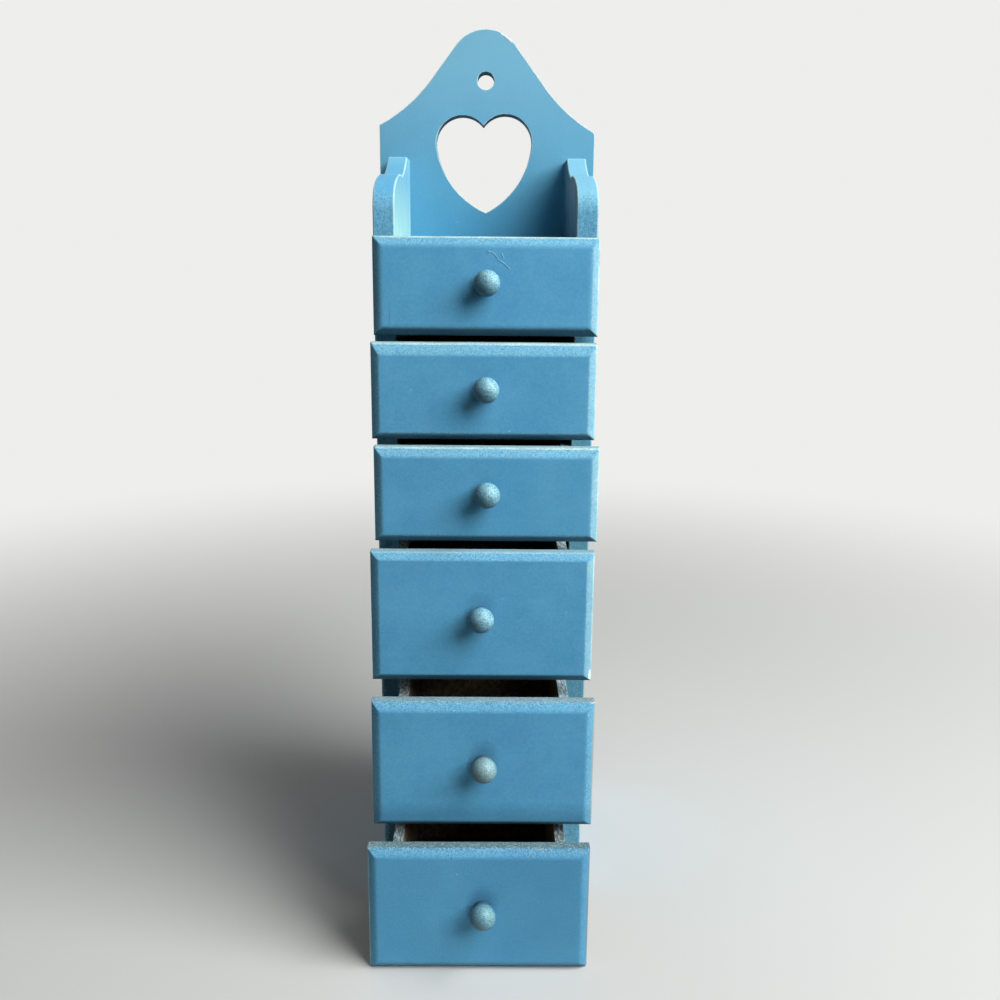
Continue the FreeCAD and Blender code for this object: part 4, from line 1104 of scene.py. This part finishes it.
# The knobs
# Half-inch balls turned from beech, each with a short neck and a tenon glued into its front. The thin paint
# is painted pale in front and on the upper right as painted light, and the end grain shows as dark dots.

KNOB_DIAMETER = 12.6
KNOB_REACH = 7.0
KNOB_NECK = 9.2
KNOB_TENON = 5.0
KNOB_TENON_LENGTH = 7.0
# The two lowest knobs have browned and darkened
HANDLED = (Flaw(0.5, 104.0, 14.0, 14.0, "#79806a", soft=1.0, share=0.33),
           Flaw(2.2, 34.0, 14.0, 14.0, "#3d6468", soft=1.0, share=0.38))


def knob_paint_lit_and_shaded():
    """Thin paint on turned beech: dark at the neck, on the left and below as painted shade, and pale
    elsewhere as painted light, with the end grain's pores as dark dots, coarser than real ones so
    that they show."""
    material, tree, place = new_finish("chalk paint on turned beech, painted light and shade")
    cloud = patches(tree, place, 2.4, 0.36, 0.64, detail=4)
    grain = patches(tree, place, 0.6, 0.42, 0.6, detail=2, seed=0.4)
    # The pale coat is painted light: it shows on the side of the ball that faces the lamp
    rubbed = coats(tree, "#548da1", ("#6ca3b0", cloud), ("#a9d7db", grain, 0.6))
    lit_side = (0.8, 0.0, 0.6)
    normal = add(tree, "ShaderNodeNewGeometry").outputs["Normal"]
    facing = add(tree, "ShaderNodeVectorMath", {0: normal, 1: lit_side}, operation="DOT_PRODUCT")
    turned = add(tree, "ShaderNodeMapRange", {
        "Value": facing.outputs["Value"], "From Min": -0.55, "From Max": 0.65})
    clear_of_neck_shade = add(tree, "ShaderNodeAttribute", attribute_name="clear_of_neck_shade").outputs["Fac"]
    pores = specks(tree, place, 1.0, 0.36, 0.75, 0.2)
    colour = coats(tree, "#38667d", (rubbed, turned, clear_of_neck_shade), ("#2b4f5e", pores, 0.7),
                   *[(handled.colour, blot(tree, place, handled)) for handled in HANDLED])
    finish_surface(tree, colour, 0.5, [(grain, 0.5), (pores, -0.8)], depth=0.06, specular=0.5)
    return material


def make_knob_tree(paint):
    """Turns a knob on the lathe: half of its section goes once round the axis of a hair-thin ring."""
    tree, known = start_tree("turned_knob", "Blank", {
        "Ball Radius": KNOB_DIAMETER / 2 * MM, "Reach": KNOB_REACH * MM, "Neck Radius": KNOB_NECK / 2 * MM,
        "Tenon Radius": KNOB_TENON / 2 * MM, "Tenon Length": KNOB_TENON_LENGTH * MM,
        "Unevenness": 0.1 * MM, "Seed": 0.0})
    work_out(tree, known, [
        ("neck to ball", "DIVIDE", "Neck Radius", "Ball Radius"),
        ("meet", "ARCCOSINE", "neck to ball"),
        ("sweep", "ADD", "meet", math.pi / 2),
        ("sine of meet", "SINE", "meet"),
        ("meet along", "MULTIPLY", "sine of meet", "Ball Radius"),
        ("tenon end", "ADD", "Reach", "Tenon Length"),
    ])
    ball = add(tree, "GeometryNodeCurveArc", {
        "Resolution": 26, "Radius": known["Ball Radius"], "Start Angle": -math.pi / 2,
        "Sweep Angle": known["sweep"]})
    section = add(tree, "GeometryNodeJoinGeometry", {0: ball})
    corners = [("Neck Radius", "meet along"), ("Neck Radius", "Reach"), ("Tenon Radius", "Reach"),
               ("Tenon Radius", "tenon end"), (None, "tenon end")]
    spots = [add(tree, "ShaderNodeCombineXYZ", {"X": known.get(across, 0.0), "Y": known[along]})
             for across, along in corners]
    for start, end in zip(spots, spots[1:]):
        edge = add(tree, "GeometryNodeCurvePrimitiveLine", {"Start": start, "End": end})
        tree.links.new(edge.outputs[0], section.inputs[0])
    hair = 0.01 * MM
    shifted = add(tree, "GeometryNodeTransform", {"Geometry": section, "Translation": (-hair, 0, 0)})
    axis = add(tree, "GeometryNodeCurvePrimitiveCircle", {"Resolution": 40, "Radius": hair})
    swept = add(tree, "GeometryNodeCurveToMesh", {"Curve": axis, "Profile Curve": shifted})
    sealed = add(tree, "GeometryNodeMergeByDistance", {"Geometry": swept, "Distance": 2 * hair})
    known["dents"] = add(tree, "ShaderNodeTexNoise", {
        "W": known["Seed"], "Scale": per(5.0), "Detail": 1.0}, noise_dimensions="4D")
    work_out(tree, known, [("dent", "SUBTRACT", "dents", 0.75), ("push", "MULTIPLY", "dent", "Unevenness")])
    push = add(tree, "ShaderNodeVectorMath", {
        0: add(tree, "GeometryNodeInputNormal"), "Scale": known["push"]}, operation="SCALE")
    worn = add(tree, "GeometryNodeSetPosition", {"Geometry": sealed, "Offset": push})
    # Painted shade at the neck: the ball leaves it from 4 mm behind its middle, and wholly from 1.5 mm
    # before it
    along = add(tree, "ShaderNodeSeparateXYZ", {0: add(tree, "GeometryNodeInputPosition")}).outputs["Z"]
    clear_of_neck_shade = add(tree, "ShaderNodeMapRange", {
        "Value": along, "From Min": -4.0 * MM, "From Max": 1.5 * MM})
    marked = add(tree, "GeometryNodeStoreNamedAttribute", {
        "Geometry": worn, "Name": "clear_of_neck_shade", "Value": clear_of_neck_shade})
    return end_tree(tree, marked, paint)


knob_tree = make_knob_tree(knob_paint_lit_and_shaded())
for number in range(1, DRAWERS + 1):
    node = f"drawer_{number}_knob"
    low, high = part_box(node)
    blank = bpy.data.meshes.new("blank")
    knob = grown(f"drawer_{number}_ball_knob", knob_tree, blank, {"Seed": 1.7 * number})
    ball_centre = Vector(((low.x + high.x) / 2, low.y + KNOB_DIAMETER / 2 * MM, (low.z + high.z) / 2))
    to_front = Matrix.Rotation(math.pi / 2, 4, "X") @ Matrix.Rotation(0.9 * number, 4, "Z")
    knob.data.transform(Matrix.Translation(ball_centre) @ to_front)
    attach(knob, f"drawer_{number}")
    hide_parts(node)

# The floor and the background
# A plain pale table top that fades into the background around it, so that no edge shows from any side.

BACKGROUND = "#eeeeec"
TABLE_RADIUS = 3.0


def make_floor():
    """A broad round sheet. Past 0.3 m from the cabinet it turns into the background for the camera, and
    for the light that it throws back it is darker from 0.15 m on."""
    material, tree, place = new_finish("table top, pale")
    level = add(tree, "ShaderNodeVectorMath", {0: place}, operation="LENGTH").outputs["Value"]
    far = add(tree, "ShaderNodeMapRange", {"Value": level, "From Min": 0.3, "From Max": 1.1},
              interpolation_type="SMOOTHSTEP")
    around = add(tree, "ShaderNodeMapRange", {"Value": level, "From Min": 0.15, "From Max": 0.45})
    camera_ray = add(tree, "ShaderNodeLightPath").outputs["Is Camera Ray"]
    other_ray = add(tree, "ShaderNodeMath", {0: 1.0, 1: camera_ray}, operation="SUBTRACT")
    colour = coats(tree, "#c0c0bc", ("#454544", around, other_ray))
    surface = add(tree, "ShaderNodeBsdfPrincipled", {
        "Base Color": colour, "Roughness": 0.6, "Specular IOR Level": 0.2})
    glow = add(tree, "ShaderNodeEmission", {"Color": BACKGROUND})
    mixed = add(tree, "ShaderNodeMixShader", {0: overlap(tree, far, camera_ray), 1: surface, 2: glow})
    add(tree, "ShaderNodeOutputMaterial", {"Surface": mixed})
    mesh = bmesh.new()
    bmesh.ops.create_circle(mesh, cap_ends=True, segments=96, radius=TABLE_RADIUS)
    data = bpy.data.meshes.new("table_top")
    mesh.to_mesh(data)
    mesh.free()
    data.materials.append(material)
    return shown("table_top", data)


make_floor()

world = bpy.data.worlds.new("soft room")
world.use_nodes = True
world_tree = world.node_tree
world_tree.nodes.clear()
rays = add(world_tree, "ShaderNodeLightPath").outputs
seen = rays["Is Camera Ray"]
for other in ("Is Glossy Ray", "Is Transmission Ray"):
    seen = add(world_tree, "ShaderNodeMath", {0: seen, 1: rays[other]}, operation="MAXIMUM")
ambient = add(world_tree, "ShaderNodeBackground", {"Color": "#fff4ea", "Strength": 0.02})
backdrop = add(world_tree, "ShaderNodeBackground", {"Color": BACKGROUND, "Strength": 1.0})
sky = add(world_tree, "ShaderNodeMixShader", {0: seen, 1: ambient, 2: backdrop})
add(world_tree, "ShaderNodeOutputWorld", {"Surface": sky})
bpy.context.scene.world = world

# The light
# A window-like soft light high on the right before the cabinet, and broad weak ones for the light of the
# room on the left, in front and behind.

TARGET = Vector((0, -0.04, 0.24))


def soft_light(name, way, distance, size, power, colour):
    """A square lamp that stands off in one direction and faces the cabinet."""
    data = bpy.data.lights.new(name, "AREA")
    data.size = size
    data.energy = power
    data.color = linear(colour)[:3]
    lamp = shown(name, data)
    lamp.location = TARGET + Vector(way).normalized() * distance
    lamp.rotation_euler = (TARGET - lamp.location).to_track_quat("-Z", "Y").to_euler()


soft_light("window light", (0.64, -0.41, 0.65), 1.5, 1.2, 51.0, "#fbfdff")
soft_light("room on the left", (-0.9, -0.4, 0.15), 2.0, 1.2, 2.5, "#fff8f2")
soft_light("room in front", (0.3, -0.8, 0.5), 2.2, 2.0, 1.5, "#fff4ea")
soft_light("room behind", (-0.45, 0.8, 0.4), 1.7, 1.0, 5.0, "#f4f8ff")

# The camera
# A phone held a little above the top drawer, tilted down by 13 degrees. Its place and turns were fitted
# to the corners of the cabinet in the photograph.

CAMERA_PLACE = Vector((0.003441, -0.571366, 0.349141))
CAMERA_LENS = 36.724
CAMERA_PITCH = 0.23458
CAMERA_YAW = 0.00923
CAMERA_ROLL = 0.00896

level_ahead = Vector((math.sin(CAMERA_YAW), math.cos(CAMERA_YAW), 0))
ahead = level_ahead * math.cos(CAMERA_PITCH) - Vector((0, 0, math.sin(CAMERA_PITCH)))
level_right = Vector((math.cos(CAMERA_YAW), -math.sin(CAMERA_YAW), 0))
level_up = level_right.cross(ahead)
right = level_right * math.cos(CAMERA_ROLL) + level_up * math.sin(CAMERA_ROLL)
up = level_up * math.cos(CAMERA_ROLL) - level_right * math.sin(CAMERA_ROLL)
camera_data = bpy.data.cameras.new("camera")
camera_data.lens = CAMERA_LENS
camera_data.sensor_width = 36.0
camera_data.clip_start = 0.01
camera = shown("camera", camera_data)
camera.matrix_world = Matrix.Translation(CAMERA_PLACE) @ Matrix((right, up, -ahead)).transposed().to_4x4()
bpy.context.scene.camera = camera
bpy.context.scene.view_settings.view_transform = "Standard"
